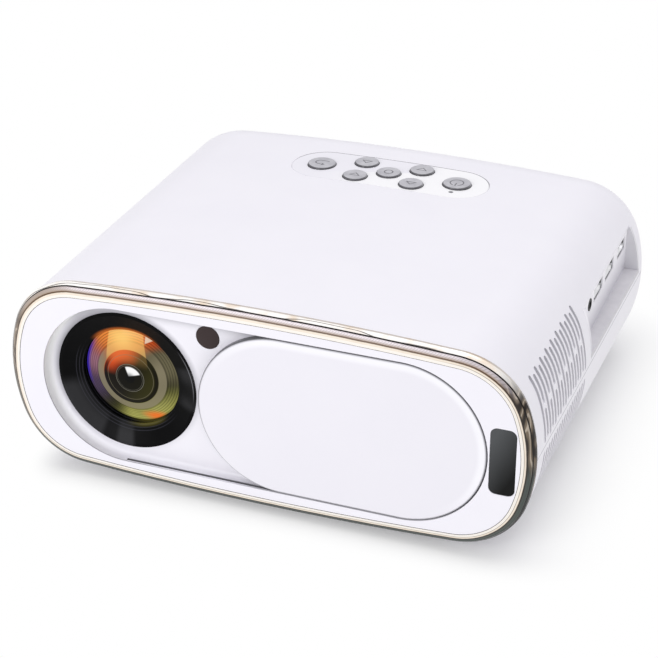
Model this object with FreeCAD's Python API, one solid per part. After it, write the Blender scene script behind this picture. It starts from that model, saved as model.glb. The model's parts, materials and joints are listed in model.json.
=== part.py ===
"""Home projector with a built-in disc player: a rounded white case, a lens behind a sliding cover on the
front, a key panel on the roof, a port bay in the right side and a disc tray in the rear.

Millimetres. Everything is laid out from the middle of the front face: x to the right, y from the face
plane to the rear, z up from mid height. store() then moves each piece so that the origin is under the
middle of the body, on the surface that the feet stand on.
"""
import FreeCAD, Part
import math
import os

V = FreeCAD.Vector

# ---------------------------------------------------------------- body form
FACE_HALF_W = 106.9      # the front plate's outline: half width, half height and its three arcs
FACE_HALF_H = 39.5
FACE_TOP_R = 1390.0
FACE_SIDE_R = 61.2
FACE_CORNER_R = 26.0
BODY_DEPTH = 197.7       # face plane to rear face
SHELL_OUT = 4.7          # how far the case stands outside the front plate's outline
REAR_FLARE = 2.2         # how much wider each side is at the rear
ROOF_DROP = 2.5          # how much lower the roof is at the rear
REAR_ROUND = 22.0        # radius of the rear edges
WALL = 2.4               # wall of the case
SEAM_Z = 0.0             # height at which the two shells part
FOOT_DROP = 2.5          # the case's lowest line above the table

# ---------------------------------------------------------------- fits
FIT = 0.1                # a fixed piece in its seat, each side
GAP = 0.3                # a visible gap round a moving piece, each side
RUN = 0.05               # running clearance of a shaft or slider, radial

# ---------------------------------------------------------------- front
TRIM_OUT = 5.3           # bright trim: width outside the front plate
TRIM_DEPTH = 5.8         # and depth back to the shells
TRIM_CREST_Y = 3.9       # where the trim is widest
TRIM_STEPS = (           # its rounded form: distance outside the front plate, depth
    (0.35, -0.1), (2.0, 0.35), (3.9, 1.35), (5.0, 2.7),
    (TRIM_OUT, TRIM_CREST_Y), (SHELL_OUT + 0.1, TRIM_DEPTH),
)
PLATE_T = 2.4            # front plate
PANEL_FLANGE_T = 2.8     # the panel's flange inside the shells
RECESS_DEPTH = 5.3       # long oval recess in the front plate
RECESS_HALF_H = 35.45
RECESS_LEFT_X = -96.05
RECESS_RIGHT_X = 93.95
RECESS_FILLET = 2.4
RECESS_T = 2.0           # wall and floor behind the recess
RECESS_TUB_Y = 0.5       # where the tub behind the plate starts
COVER_LEN = 120.3        # sliding lens cover
COVER_T = 2.8
COVER_EDGE = 0.9
TONGUE_OUT = 1.3         # the cover's sliding tongues
TONGUE_T = 1.2
TONGUE_Y = 1.2
WINDOW_X = 94.6          # dark remote-control window right of the recess
WINDOW_W = 10.3
WINDOW_H = 29.2
WINDOW_CORNER = 3.0
WINDOW_T = 1.4
WINDOW_SINK = 0.15       # its face behind the front plate's
SENSOR_X = -23.5         # round light sensor on the recess floor
SENSOR_Z = 27.4
SENSOR_R = 5.0
SENSOR_HEAD = 0.4         # its domed head and its flange behind the recess floor
SENSOR_FLANGE_OUT = 1.0
SENSOR_FLANGE_T = 1.2

# ---------------------------------------------------------------- lens and focus drive
LENS_X = RECESS_LEFT_X + RECESS_HALF_H
HOOD_R = 31.1            # conical hood round the lens
HOOD_RIM = 1.5
HOOD_FLANGE = 2.6
HOOD_THROAT_R = 21.6
HOOD_BACK_Y = 9.1
HOOD_SINK = 0.2          # hood's rim before the recess floor
HOOD_T = 1.6             # its flange, and its wall at the rim and at the throat
HOOD_RIM_WALL = 1.5
HOOD_THROAT_WALL = 3.0
FOCUS_IN = 2.0           # focus travel towards the front and towards the rear
FOCUS_OUT = 2.1
BARREL_R = 24.0
BARREL_Y = 11.4
LENS_FRONT_SAG = 4.5
LENS_T = 3.0
LENS_SEAT_IN = 2.2       # middle of the front lens's edge, in from the barrel's end
LENS_LIP = 1.0           # step in the barrel that each lens rests on
LENS_RIM = 1.1           # flat rim round each lens's curved faces
MOUNT_WALL = 3.0         # fixed sleeve that the barrel slides in
MOUNT_Y = 26.0
BORE_R = 14.0            # the barrel's light path
ARM_T = 3.0              # the barrel's arm that holds the focus nut
ARM_HALF_W = 2.4
FOCUS_SCREW_R = 1.5      # lead screw of the focus motor
FOCUS_SCREW_NOSE = 0.2   # its end before the nut's foremost place
FOCUS_SCREW_TAIL = 5.5   # and its end inside the motor
FOCUS_NUT_R = 3.6
FOCUS_ANGLE = 35.0       # direction of the screw from the barrel's axis, above the horizontal
FOCUS_MOTOR_R = 6.0
FOCUS_MOTOR_LEN = 14.0
FOCUS_BRACKET_T = 2.5    # plate that carries the motor
FOCUS_BRACKET_OUT = 1.5
FOCUS_WEB_HALF_W = 4.0
MOUNT_FLANGE_HALF_W = 33.0
MOUNT_FLANGE_T = 3.0

# ---------------------------------------------------------------- light engine
ENGINE_W = 72.0
ENGINE_H = 50.0
ENGINE_Y0 = 62.0
ENGINE_WALL = 2.0
FRESNEL_T = 1.5
FRESNEL_FRONT_Y = 74.0
LCD_Y = 80.0
LCD_T = 2.6
LCD_BORDER = 4.0
LCD_SINK = 0.6           # cell behind its frame's face
GATE_HALF = 20.0         # light gate in the housing's front wall
ENGINE_FOOT = 8.0        # square feet of the housing
HEAT_GLASS_Y = 90.0
HEAT_GLASS_T = 1.1
FRESNEL_REAR_Y = 96.0
CONDENSER_Y = 108.0
CONDENSER_R = 21.0
CONDENSER_SAG = 9.0
CONDENSER_FLANGE_T = 2.0
LED_BOARD_T = 1.6
LED_SIZE = 9.0
LED_T = 1.4
SINK_W = 50.0
SINK_H = 46.0
SINK_BASE_T = 5.0
SINK_FIN_LEN = 18.0
SINK_FIN_T = 1.2
SINK_FINS = 13
SINK_FAN_GAP = 2.4       # between the fins' ends and the exhaust fan

# ---------------------------------------------------------------- fans
SIDE_FAN = 60.0          # frame size of the fan behind the side vents
REAR_FAN = 50.0          # and of the exhaust fan behind the light engine
FAN_T = 15.0
FAN_RING = 1.6
FAN_HUB = 0.42           # hub radius as a part of the blade tip radius
FAN_TIP_GAP = 0.8
FAN_BLADES = 7
FAN_PIN_R = 1.5
FAN_FLOOR_T = 2.0
FAN_BLADE_T = 1.2
FAN_BLADE_ANGLE = 38.0
FAN_BLADE_CHORD = 18.0
FAN_CORNER_R = 3.0
FAN_ARM_W = 3.0
FAN_ARMS = 3
FAN_SCREW_R = 1.6        # holes in the frame's corners
FAN_SCREW_IN = 4.5
FAN_CUP_GAP = 0.4        # rotor above the floor, and below the rim
FAN_CUP_SINK = 0.8
FAN_PIN_END = 2.0
FAN_FOOT_W = 9.0         # what the rear fan stands on
CRADLE_W = 4.0           # ribs under the side fan
CRADLE_DY = 24.0
SIDE_FAN_INSET = 13.5    # outer face of the side fan, in from the shell's widest line
REAR_FAN_IN = 33.7       # open face of the exhaust fan, in from the rear face

# ---------------------------------------------------------------- side vents and port bay
VENT_COUNT = 17
VENT_PITCH = 3.775
VENT_FIRST_Y = 17.0
VENT_W = 2.1
VENT_TOP_Z = 29.6        # first, third ... slot
VENT_TOP_SHORT_Z = 28.4  # second, fourth ... slot, each with a bridge
VENT_BRIDGE_Z = 15.6
VENT_BRIDGE_T = 2.0
VENT_FOOT_Z = 1.6
VENT_FOOT_SHORT_Z = 2.6
LOWER_VENT_TOP_Z = -2.6
LOWER_VENT_FOOT_Z = -27.0
VENT_REACH_IN = 12.0     # the cuts start and end either side of the wall's widest line
VENT_REACH_OUT = 20.0
BAY_LEN = 82.0
BAY_IN = 27.2            # its rear end, in from the rear face
BAY_WALL_X = 107.0
BAY_FLOOR_Z = 3.7
BAY_TOP_Z = 23.6         # top of the tub, under the case's lip
BAY_LIP = 0.4            # how far the case's lip stands out over the bay's wall
BAY_T = 1.8
PORT_Z = 18.7            # middle of the sockets
HDMI_AT = (28.5, 48.8)   # middle of each socket from the bay's front end
HDMI_W = 15.0
HDMI_H = 6.0
HDMI_DEPTH = 11.5
USB_AT = 71.0
USB_W = 13.2
USB_H = 5.9
USB_DEPTH = 13.0
SOCKET_SHEET = 0.5
SOCKET_SINK = 0.2        # sockets' mouths behind the bay's wall
HDMI_CHAMFER = 1.3
HDMI_BACK_T = 2.5
HDMI_TONGUE_W = 11.0
HDMI_TONGUE_T = 1.1
USB_BACK_T = 2.0
USB_TONGUE_W = 10.8
USB_TONGUE_T = 1.8
TONGUE_ROOT = 1.0
JACK_AT = 13.3
JACK_R = 1.8             # bore for a 3.5 mm plug
JACK_COLLAR_R = 2.7
JACK_LEN = 12.0
JACK_HALF = 3.6          # half width of the jack's block
JACK_PROUD = 0.3
RESET_AT = 4.9
RESET_R = 0.7
RESET_UP = 2.2           # above the sockets' middle

# ---------------------------------------------------------------- key panel on the roof
PANEL_X = 1.4
PANEL_IN = 47.7          # its middle line, in from the rear face
PANEL_LEN = 92.6
PANEL_HALF_W = 15.3
PANEL_T = 1.8
PANEL_PAD_T = 2.2        # roof left under the panel plate
KEY_SHIFT = 0.3          # keys from the panel's own middle, to the front and left
KEY_R = 5.54
ROUND_KEY_R = 6.42
BACK_KEY_IN = 13.8       # outer keys from the panel's ends
POWER_KEY_IN = 14.4
ARROW_DX = 13.24
ARROW_DY = 8.04
KEY_PROUD = 0.9
KEY_EDGE = 0.5
KEY_TRAVEL = 0.8
KEY_FLANGE_OUT = 0.9
KEY_FLANGE_T = 0.8
KEY_STEM_R = 1.6
KEY_STEM_GAP = 0.1       # pressed stem above its switch
LIGHT_DY = 8.9           # status light in front of the power key
LIGHT_R = 1.0
KEY_BOARD_T = 1.6
SWITCH_T = 1.6
SWITCH_HALF = 2.6
SWITCH_PLUNGER_R = 1.4
SWITCH_PLUNGER_T = 0.5
KEY_BOARD_Z = 31.4
KEY_BOARD_HALF_W = 12.5
KEY_BOARD_END = 6.0
KEY_PILLAR_R = 2.2
KEY_PILLAR_DY = 10.0
KEY_PILLAR_END = 9.0
PAD_OUT = 3.0            # thick roof round the plate
LIGHT_SINK = 0.1

# ---------------------------------------------------------------- rear panel
REAR_PANEL_HALF_W = 86.0
REAR_PANEL_Z0 = -17.5
REAR_PANEL_Z1 = 15.0
REAR_PANEL_CORNER = 5.0
REAR_FLANGE = 2.0
REAR_SLOT_W = 2.0
REAR_SLOT_PITCH = 4.4
REAR_SLOT_END = 4.0       # solid panel above and below the slots
EXHAUST_SLOTS = 11
INTAKE_X = 20.0
INTAKE_SLOTS = 11
INLET_X = 70.0
INLET_Z = -1.0
INLET_W = 24.0
INLET_H = 15.0
INLET_DEPTH = 19.0
INLET_MOUTH_W = 15.6
INLET_MOUTH_H = 8.6
INLET_MOUTH_DEPTH = 11.0
PIN_R = 1.2
PIN_PITCH = 7.4
PIN_LEN = 8.0
PIN_ROOT = 0.5
INLET_CORNER = 2.0
INLET_SINK = 0.3         # inlet's face behind the rear face
TAG_LEN = 5.0
TAG_HALF_W = 1.2
TAG_HALF_T = 0.4
REAR_FLANGE_T = 1.6

# ---------------------------------------------------------------- disc drive
DISC_R = 60.0
DRIVE_HALF_W = 64.0
DRIVE_LEN = 127.5
DRIVE_IN = 11.7          # its open end, in from the rear face
DRIVE_Z0 = -40.2
DRIVE_H = 12.6
DRIVE_SHEET = 0.8
RAIL_T = 1.6
TRAY_END = 1.7           # tray's inner end from the drive's end
TRAY_T = 6.6
TRAY_LIFT = 0.6          # tray above the drive's floor
TRAY_FLOOR_T = 1.2
DISC_CLEAR = 0.4
DISC_SINK = 1.5
THUMB_R = 13.0           # finger hollow at the tray's outer end
THUMB_DEPTH = 3.4
THUMB_END = 1.5
RAIL_H = 4.0
RAIL_END = 4.0
BEZEL_LIP = 0.2
SPINDLE_IN = 61.0        # from the drive's open end
SPINDLE_MOTOR_R = 12.0
SPINDLE_MOTOR_T = 2.4
HUB_R = 13.5
HUB_T = 1.0
HUB_BOSS_R = 7.4         # enters the disc's 15 mm hole
HUB_BOSS_H = 1.5
HUB_BOSS_EDGE = 0.6
HUB_PROUD = 0.3          # hub above the tray's disc recess
HUB_CLEAR = 1.5          # tray round the hub
SPINDLE_SHAFT_R = 1.5
SPINDLE_WELL_T = 0.4     # floor under the shaft's bore
SLED_POCKET_END = 14.5   # from the spindle
SLED_POCKET_HALF_W = 24.0
SLED_LEN = 13.0
SLED_TRAVEL = 35.0
SLED_HALF_W = 15.0
SLED_T = 3.4
ROD_R = 1.0
ROD_X = 12.5
SCREW_X = 19.0
SCREW_R = 1.2
SCREW_END = 2.0          # pocket's end to the feed motor
SCREW_TAIL = 3.0         # screw inside the motor
SLED_LIFT = 0.3
SLED_NUT_WALL = 1.4
EYE_FROM_SPINDLE = 23.0  # the pickup's lens
EYE_R = 2.2
EYE_H = 0.25
EYE_RING_R = 4.6
EYE_RING_H = 0.15
SLED_ARM = 3.2
FEED_MOTOR_R = 1.9
FEED_MOTOR_LEN = 9.0
EJECT_X = 48.0
EJECT_W = 9.0
EJECT_H = 3.2
EJECT_TRAVEL = 0.6
EJECT_PROUD = 0.4

# ---------------------------------------------------------------- frame, boards, speakers, feet
FRAME_X0 = -92.0
FRAME_X1 = 82.0
FRAME_IN = (3.8, 2.0)    # its ends from the drive's
FRAME_T = 1.6
POST_R = 4.0
POST_X = (-85.0, 74.0)
POST_IN = (4.2, 32.0)    # posts from the frame's ends
POST_HEAD_T = 0.9        # low heads, clear of what stands on the frame
SCREW_HOLE_R = 1.3
BOARD_T = 1.6
MAIN_BOARD_X0 = 22.0
MAIN_BOARD_OUT = (2.0, 0.5)  # its ends beyond the bay's
CHIPS = (                # middle from the board's corner, width, depth, height; the first has fins
    (37.0, 34.5, 18.0, 18.0, 2.4), (17.0, 32.5, 10.0, 14.0, 1.2),
    (17.0, 52.5, 10.0, 14.0, 1.2), (38.0, 59.5, 12.0, 8.0, 1.6),
)
CHIP_FINS = 5
CHIP_FIN_T = 1.4
CHIP_FIN_H = 5.6
CANS = 4                 # row of capacitors on the main board
CAN_R = 3.0
CAN_H = 7.0
CAN_AT = (8.0, 11.5)     # the first one, from the board's corner
CAN_PITCH = 9.0
BOARD_PILLAR_R = 3.0     # pillars from the roof to the main board
BOARD_PILLAR_X = 90.0
POWER_BOARD_X = (-18.0, 56.0)
POWER_BOARD_LEN = 74.0
POWER_BOARD_IN = 26.0    # its rear end from the frame's
POWER_STAND = 4.0
POWER_STAND_R = 3.0
POWER_STAND_IN = 5.0
TRANSFORMER = (22.0, 24.0, 20.0)   # width, depth, height
TRANSFORMER_IN = (12.0, 22.0)      # its corner from the board's
COIL_R = 7.5
COIL_H = 15.0
COIL_IN = (16.0, 14.0)
BULK_R = 8.0
BULK_H = 22.0
BULK_IN = (14.0, 34.0)
SMALL_CAN_R = 4.0
SMALL_CAN_H = 13.0
SMALL_CAN_IN = (10.0, 9.0)
SMALL_CAN_PITCH = 12.0
COOLING_PLATE_X = (8.0, 30.0)      # its ends from the board's ends
COOLING_PLATE_Y = 12.0
COOLING_PLATE_T = 2.0
COOLING_PLATE_H = 18.0
BOSS_R = 3.6             # case bosses: outside, screw well and screw
WELL_R = 3.0
WELL_WALL = 1.2
WELL_TOP_Z = -10.0
SCREW_SHANK_R = 1.25
SCREW_IN = 9.0           # how far a case screw enters the upper boss
SCREW_HEAD_R = 2.7
SCREW_HEAD_T = 1.8
FRAME_SCREW_LEN = 8.0
BOSS_X = 96.5
BOSS_REAR_IN = 22.1      # rear bosses from the rear face
BOSS_BAY_GAP = 7.0       # front right boss from the bay
BOSS_FRONT_Y = 52.0
LIP_T = 1.0              # lip of the lower shell inside the upper one
LIP_H = 1.2
SPEAKER_X = (-58.0, 58.0)
SPEAKER_Y = 36.0
SPEAKER_R = 18.0
SPEAKER_H = 10.8
SPEAKER_RIM_W = 2.5
SPEAKER_RIM_T = 1.6
MAGNET_R = 0.62          # magnet's radius as a part of the speaker's
BASKET_H = 5.2
GRILLE_HOLE_R = 1.2
GRILLE_PITCH = 4.4
GRILLE_RINGS = 3
SEAT_WALL = 0.6          # speaker seat outside the rim
SEAT_IN = 3.0
SPEAKER_SEAT_Z = -39.6
FOOT_X = 78.0
FOOT_FRONT_Y = 24.0
FOOT_REAR_IN = 31.7
FOOT_R = 8.0
FOOT_PAD_R = 9.5
FOOT_PAD_Z = -44.0
FOOT_PEG_R = 2.0
FOOT_PEG_H = 3.5
FOOT_EDGE = 0.8
TRIPOD_Y = 44.0
TRIPOD_R = 2.55          # core of a 1/4-20 camera thread
TRIPOD_DEPTH = 8.0
TRIPOD_BODY_R = 4.6
TRIPOD_BODY_H = 9.6
TRIPOD_SINK = 0.1
TRIPOD_BOSS_WALL = 2.0

# ---------------------------------------------------------------- worked out from the values above
BAY_Y1 = BODY_DEPTH - BAY_IN
BAY_Y0 = BAY_Y1 - BAY_LEN
HDMI_Y = [BAY_Y0 + at for at in HDMI_AT]
USB_Y = BAY_Y0 + USB_AT
JACK_Y = BAY_Y0 + JACK_AT
RESET_Y = BAY_Y0 + RESET_AT
PANEL_Y = BODY_DEPTH - PANEL_IN
PANEL_X0 = PANEL_X - PANEL_LEN / 2
PANEL_X1 = PANEL_X + PANEL_LEN / 2
KEY_ROW_Y = PANEL_Y - KEY_SHIFT
KEY_X = PANEL_X - KEY_SHIFT
BACK_KEY_X = PANEL_X0 + BACK_KEY_IN
POWER_KEY_X = PANEL_X1 - POWER_KEY_IN
LIGHT_X = POWER_KEY_X
LIGHT_Y = KEY_ROW_Y - LIGHT_DY
DRIVE_Y1 = BODY_DEPTH - DRIVE_IN
DRIVE_Y0 = DRIVE_Y1 - DRIVE_LEN
TRAY_HALF_W = DRIVE_HALF_W - DRIVE_SHEET - RAIL_T - 2 * FIT
SPINDLE_Y = DRIVE_Y1 - SPINDLE_IN
SLED_POCKET_Y1 = SPINDLE_Y - SLED_POCKET_END
FRAME_Y0 = DRIVE_Y0 + FRAME_IN[0]
FRAME_Y1 = DRIVE_Y1 - FRAME_IN[1]
POST_Y = (FRAME_Y0 + POST_IN[0], FRAME_Y1 - POST_IN[1])
MAIN_BOARD_Y0 = BAY_Y0 - MAIN_BOARD_OUT[0]
MAIN_BOARD_Y1 = BAY_Y1 + MAIN_BOARD_OUT[1]
POWER_BOARD_Y1 = FRAME_Y1 - POWER_BOARD_IN
BOSS_REAR_Y = BODY_DEPTH - BOSS_REAR_IN
BOSS_SPOTS = ((BOSS_X, BAY_Y0 - BOSS_BAY_GAP), (BOSS_X, BOSS_REAR_Y),
              (-BOSS_X, BOSS_FRONT_Y), (-BOSS_X, BOSS_REAR_Y))
FOOT_Y = (FOOT_FRONT_Y, BODY_DEPTH - FOOT_REAR_IN)
REAR_FAN_Y = BODY_DEPTH - REAR_FAN_IN
SINK_Y0 = REAR_FAN_Y - SINK_FAN_GAP - SINK_FIN_LEN - SINK_BASE_T
ENGINE_Y1 = SINK_Y0 - LED_BOARD_T
HALF_H = FACE_HALF_H + SHELL_OUT
MID_Z = HALF_H + FOOT_DROP
REAR_INNER_Y = BODY_DEPTH - WALL
BARREL_LEN = ENGINE_Y0 - FOCUS_OUT - GAP - BARREL_Y
DRIVE_Z1 = DRIVE_Z0 + DRIVE_H
TRAY_Z0 = DRIVE_Z0 + DRIVE_SHEET + TRAY_LIFT
TRAY_Z1 = TRAY_Z0 + TRAY_T
FRAME_Z0 = DRIVE_Z1
FRAME_Z1 = FRAME_Z0 + FRAME_T
ENGINE_Z0 = -ENGINE_H / 2
ENGINE_Z1 = ENGINE_H / 2
BOARD_Z1 = PORT_Z - HDMI_H / 2
BIG = 400.0


# ================================================================ plain shapes
def box(x0, x1, y0, y1, z0, z1):
    """A block between two corners."""
    return Part.makeBox(x1 - x0, y1 - y0, z1 - z0, V(x0, y0, z0))


def rod(r, start, direction, length):
    return Part.makeCylinder(r, length, V(*start), V(*direction))


def tube(r_out, r_in, start, direction, length):
    return rod(r_out, start, direction, length).cut(rod(r_in, start, direction, length))


def joined(shapes):
    """One solid from shapes that touch or overlap."""
    shapes = list(shapes)
    return shapes[0].fuse(shapes[1:]).removeSplitter() if len(shapes) > 1 else shapes[0]


def without(shape, cuts):
    cuts = [c for c in cuts if c is not None]
    return shape.cut(cuts) if cuts else shape


def oval_wire(x0, x1, half, place):
    """A stadium outline: two straight sides and two half circles; place(u, v) gives its points."""
    a, b = x0 + half, x1 - half
    return Part.Wire([
        Part.LineSegment(place(a, -half), place(b, -half)).toShape(),
        Part.Arc(place(b, -half), place(x1, 0), place(b, half)).toShape(),
        Part.LineSegment(place(b, half), place(a, half)).toShape(),
        Part.Arc(place(a, half), place(x0, 0), place(a, -half)).toShape(),
    ])


def oval_y(x0, x1, half, y0, y1, z=0.0):
    """A stadium block lying across the front, from y0 back to y1."""
    wire = oval_wire(x0, x1, half, lambda u, v: V(u, y0, z + v))
    return Part.Face(wire).extrude(V(0, y1 - y0, 0))


def oval_z(x0, x1, half, z0, z1, y):
    """A stadium block lying on the roof, from z0 up to z1."""
    wire = oval_wire(x0, x1, half, lambda u, v: V(u, y + v, z0))
    return Part.Face(wire).extrude(V(0, 0, z1 - z0))


def turned(profile, origin, axis):
    """A solid of revolution from (radius, distance along the axis) points."""
    axis, origin = V(*axis), V(*origin)
    side = V(1, 0, 0) if abs(axis.x) < 0.5 else V(0, 1, 0)
    points = [origin + side * r + axis * t for r, t in profile]
    return Part.Face(Part.makePolygon(points + points[:1])).revolve(origin, axis, 360)


def edges_at(shape, test):
    return [e for e in shape.Edges if test(e.BoundBox)]


def rounded_block(x0, x1, y0, y1, z0, z1, r):
    """A block whose four edges along y are rounded."""
    block = box(x0, x1, y0, y1, z0, z1)
    return block.makeFillet(r, edges_at(block, lambda b: b.YLength > (y1 - y0) - 0.01))


# ================================================================ body form
def flare(y):
    """Share of the rear's extra width and lower roof that is reached at y."""
    return max(0.0, (y - TRIM_DEPTH) / (BODY_DEPTH - TRIM_DEPTH))


def section(out, y):
    """The case's outline at y, moved outwards by out: flat arcs above and below, round sides and
    corner arcs tangent to both."""
    widen, drop = REAR_FLARE * flare(y), ROOF_DROP * flare(y)
    a, b = FACE_HALF_W + out + widen, FACE_HALF_H + out - drop / 2
    top_r, side_r, corner_r = FACE_TOP_R + out, FACE_SIDE_R + out, FACE_CORNER_R + out
    top_z, side_x = b - top_r, a - side_r
    apart = math.hypot(side_x, top_z)
    far, near = top_r - corner_r, side_r - corner_r
    along = (far * far - near * near + apart * apart) / (2 * apart)
    across = math.sqrt(far * far - along * along)
    ux, uz = side_x / apart, -top_z / apart
    cx, cz = ux * along + uz * across, top_z + uz * along - ux * across
    side_angle = math.atan2(cz, cx - side_x)
    top_angle = math.atan2(cz - top_z, cx)
    mid_angle = (side_angle + top_angle) / 2

    def point(sx, sz, px, pz):
        return V(sx * px, y, sz * pz - drop / 2)

    s = (side_x + side_r * math.cos(side_angle), side_r * math.sin(side_angle))
    m = (cx + corner_r * math.cos(mid_angle), cz + corner_r * math.sin(mid_angle))
    t = (top_r * math.cos(top_angle), top_z + top_r * math.sin(top_angle))

    def arc(*ends):
        return Part.Arc(*[point(*e) for e in ends]).toShape()

    return Part.Wire([
        arc((1, -1, *s), (1, 1, a, 0), (1, 1, *s)),
        arc((1, 1, *s), (1, 1, *m), (1, 1, *t)),
        arc((1, 1, *t), (1, 1, 0, b), (-1, 1, *t)),
        arc((-1, 1, *t), (-1, 1, *m), (-1, 1, *s)),
        arc((-1, 1, *s), (-1, 1, a, 0), (-1, -1, *s)),
        arc((-1, -1, *s), (-1, -1, *m), (-1, -1, *t)),
        arc((-1, -1, *t), (1, -1, 0, b), (1, -1, *t)),
        arc((1, -1, *t), (1, -1, *m), (1, -1, *s)),
    ])


def slab(out, y0, y1):
    """A straight prism of the outline at y0."""
    return Part.Face(section(out, y0)).extrude(V(0, y1 - y0, 0))


def body_form(inset, y0):
    """The whole case's outer form, moved inwards by inset, with its rounded rear edges."""
    y1 = BODY_DEPTH - inset
    solid = Part.makeLoft([section(SHELL_OUT - inset, y0), section(SHELL_OUT - inset, y1)], True, True)
    rim = edges_at(solid, lambda b: b.YMin > y1 - 0.01)
    return solid.makeFillet(REAR_ROUND - inset, rim).Solids[0]


OUTER = body_form(0.0, TRIM_DEPTH)
CAVITY = body_form(WALL, TRIM_DEPTH - 1.0)
CASE = OUTER.cut(CAVITY)


def roof_z(y, x=0.0, inset=0.0):
    """Height of the roof's outer face, or of a surface parallel to it."""
    sag = FACE_TOP_R - math.sqrt(FACE_TOP_R ** 2 - x * x)
    return HALF_H - ROOF_DROP * flare(y) - sag - inset


def store(name, shape):
    """Write one piece, moved so that the origin is under the middle of the body."""
    piece = shape.copy()
    piece.translate(V(0, -BODY_DEPTH / 2, MID_Z))
    piece.exportStep("parts/" + name + ".step")


# ================================================================ front
def recess(grow=0.0, y0=-1.0, y1=RECESS_DEPTH):
    """The long oval hollow in the front plate, grown outwards by grow."""
    return oval_y(RECESS_LEFT_X - grow, RECESS_RIGHT_X + grow, RECESS_HALF_H + grow, y0, y1)


def window(grow, y0, y1):
    x0, half = WINDOW_X, WINDOW_H / 2
    return rounded_block(x0 - grow, x0 + WINDOW_W + grow, y0, y1, -half - grow, half + grow, WINDOW_CORNER)


COVER_HALF_H = RECESS_HALF_H - GAP
COVER_X1 = RECESS_RIGHT_X - GAP
COVER_X0 = COVER_X1 - COVER_LEN
COVER_TRAVEL = COVER_X0 - RECESS_LEFT_X - GAP
TONGUE_X0 = COVER_X0 + COVER_HALF_H
TONGUE_X1 = COVER_X1 - COVER_HALF_H


def front_panel():
    """Front plate with its skirt and flange inside the shells, and the recess that the cover slides in."""
    flange_y = TRIM_DEPTH + PANEL_FLANGE_T
    skirt = slab(0.0, 0.0, flange_y).cut(slab(-PLATE_T, PLATE_T, flange_y + 1))
    flange = slab(SHELL_OUT - WALL - FIT, TRIM_DEPTH, flange_y)
    flange = flange.cut(slab(-PLATE_T, TRIM_DEPTH - 1, flange_y + 1))
    tub = recess(RECESS_T, RECESS_TUB_Y, RECESS_DEPTH + RECESS_T)
    hollow = recess()
    foot = edges_at(hollow, lambda b: b.YMin > RECESS_DEPTH - 0.01)
    hollow = hollow.makeFillet(RECESS_FILLET, foot)
    groove_z = COVER_HALF_H + TONGUE_OUT + FIT
    groove = box(TONGUE_X0 - COVER_TRAVEL - GAP, TONGUE_X1 + GAP, TONGUE_Y - FIT,
                 TONGUE_Y + TONGUE_T + FIT, -groove_z, groove_z)
    lens_hole = rod(HOOD_R, (LENS_X, 0, 0), (0, 1, 0), 20)
    sensor_hole = rod(SENSOR_R + FIT, (SENSOR_X, 0, SENSOR_Z), (0, 1, 0), 20)
    panel = joined([skirt, flange, tub])
    return without(panel, [hollow, groove, lens_hole, sensor_hole, window(FIT, -1, PLATE_T + 1)])


def trim_ring():
    """Bright ring round the front plate: rises from the plate's edge, crests and falls to the shells."""
    ring = Part.makeLoft([section(out, y) for out, y in TRIM_STEPS], True, True)
    return ring.cut(slab(FIT, -1, TRIM_DEPTH + 1))


def lens_cover():
    """The sliding cover, with a tongue above and below that runs in the recess's grooves."""
    plate = oval_y(COVER_X0, COVER_X1, COVER_HALF_H, 0.0, COVER_T)
    plate = plate.makeFillet(COVER_EDGE, edges_at(plate, lambda b: b.YMax < 0.01))
    reach = COVER_HALF_H + TONGUE_OUT
    tongues = box(TONGUE_X0, TONGUE_X1, TONGUE_Y, TONGUE_Y + TONGUE_T, -reach, reach)
    return joined([plate, tongues])


def ir_window():
    return window(0.0, WINDOW_SINK, WINDOW_T)


def sensor_lens():
    """Round dark sensor window: a head in the recess floor and a flange behind it."""
    y0, back = HOOD_Y0, PANEL_BACK_Y
    flange_r, flange_y = SENSOR_R + SENSOR_FLANGE_OUT, back + SENSOR_FLANGE_T
    profile = [(0, y0 - SENSOR_HEAD), (SENSOR_R * 0.6, y0 - SENSOR_HEAD * 0.6), (SENSOR_R, y0),
               (SENSOR_R, back), (flange_r, back), (flange_r, flange_y), (0, flange_y)]
    return turned(profile, (SENSOR_X, 0, SENSOR_Z), (0, 1, 0))


# ================================================================ lens, focus and light engine
HOOD_Y0 = RECESS_DEPTH - HOOD_SINK
PANEL_BACK_Y = RECESS_DEPTH + RECESS_T
BARREL_Y1 = BARREL_Y + BARREL_LEN
MOUNT_Y1 = ENGINE_Y0
BRACKET_Y1 = MOUNT_Y + 1.0 + FOCUS_BRACKET_T
SCREW_OUT = BARREL_R + MOUNT_WALL + FOCUS_MOTOR_R + GAP
SCREW_AT = (LENS_X + SCREW_OUT * math.cos(math.radians(FOCUS_ANGLE)),
            SCREW_OUT * math.sin(math.radians(FOCUS_ANGLE)))


def lens_hood():
    """Black cone that narrows from the recess floor to the front lens, with a flange behind the panel."""
    r_out = HOOD_R - FIT
    profile = [(HOOD_R - HOOD_RIM, HOOD_Y0), (r_out, HOOD_Y0), (r_out, PANEL_BACK_Y),
               (HOOD_R + HOOD_FLANGE, PANEL_BACK_Y), (HOOD_R + HOOD_FLANGE, PANEL_BACK_Y + HOOD_T),
               (r_out - HOOD_RIM_WALL, PANEL_BACK_Y + HOOD_T),
               (HOOD_THROAT_R + HOOD_THROAT_WALL, HOOD_BACK_Y), (HOOD_THROAT_R, HOOD_BACK_Y)]
    return turned(profile, (LENS_X, 0, 0), (0, 1, 0))


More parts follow.
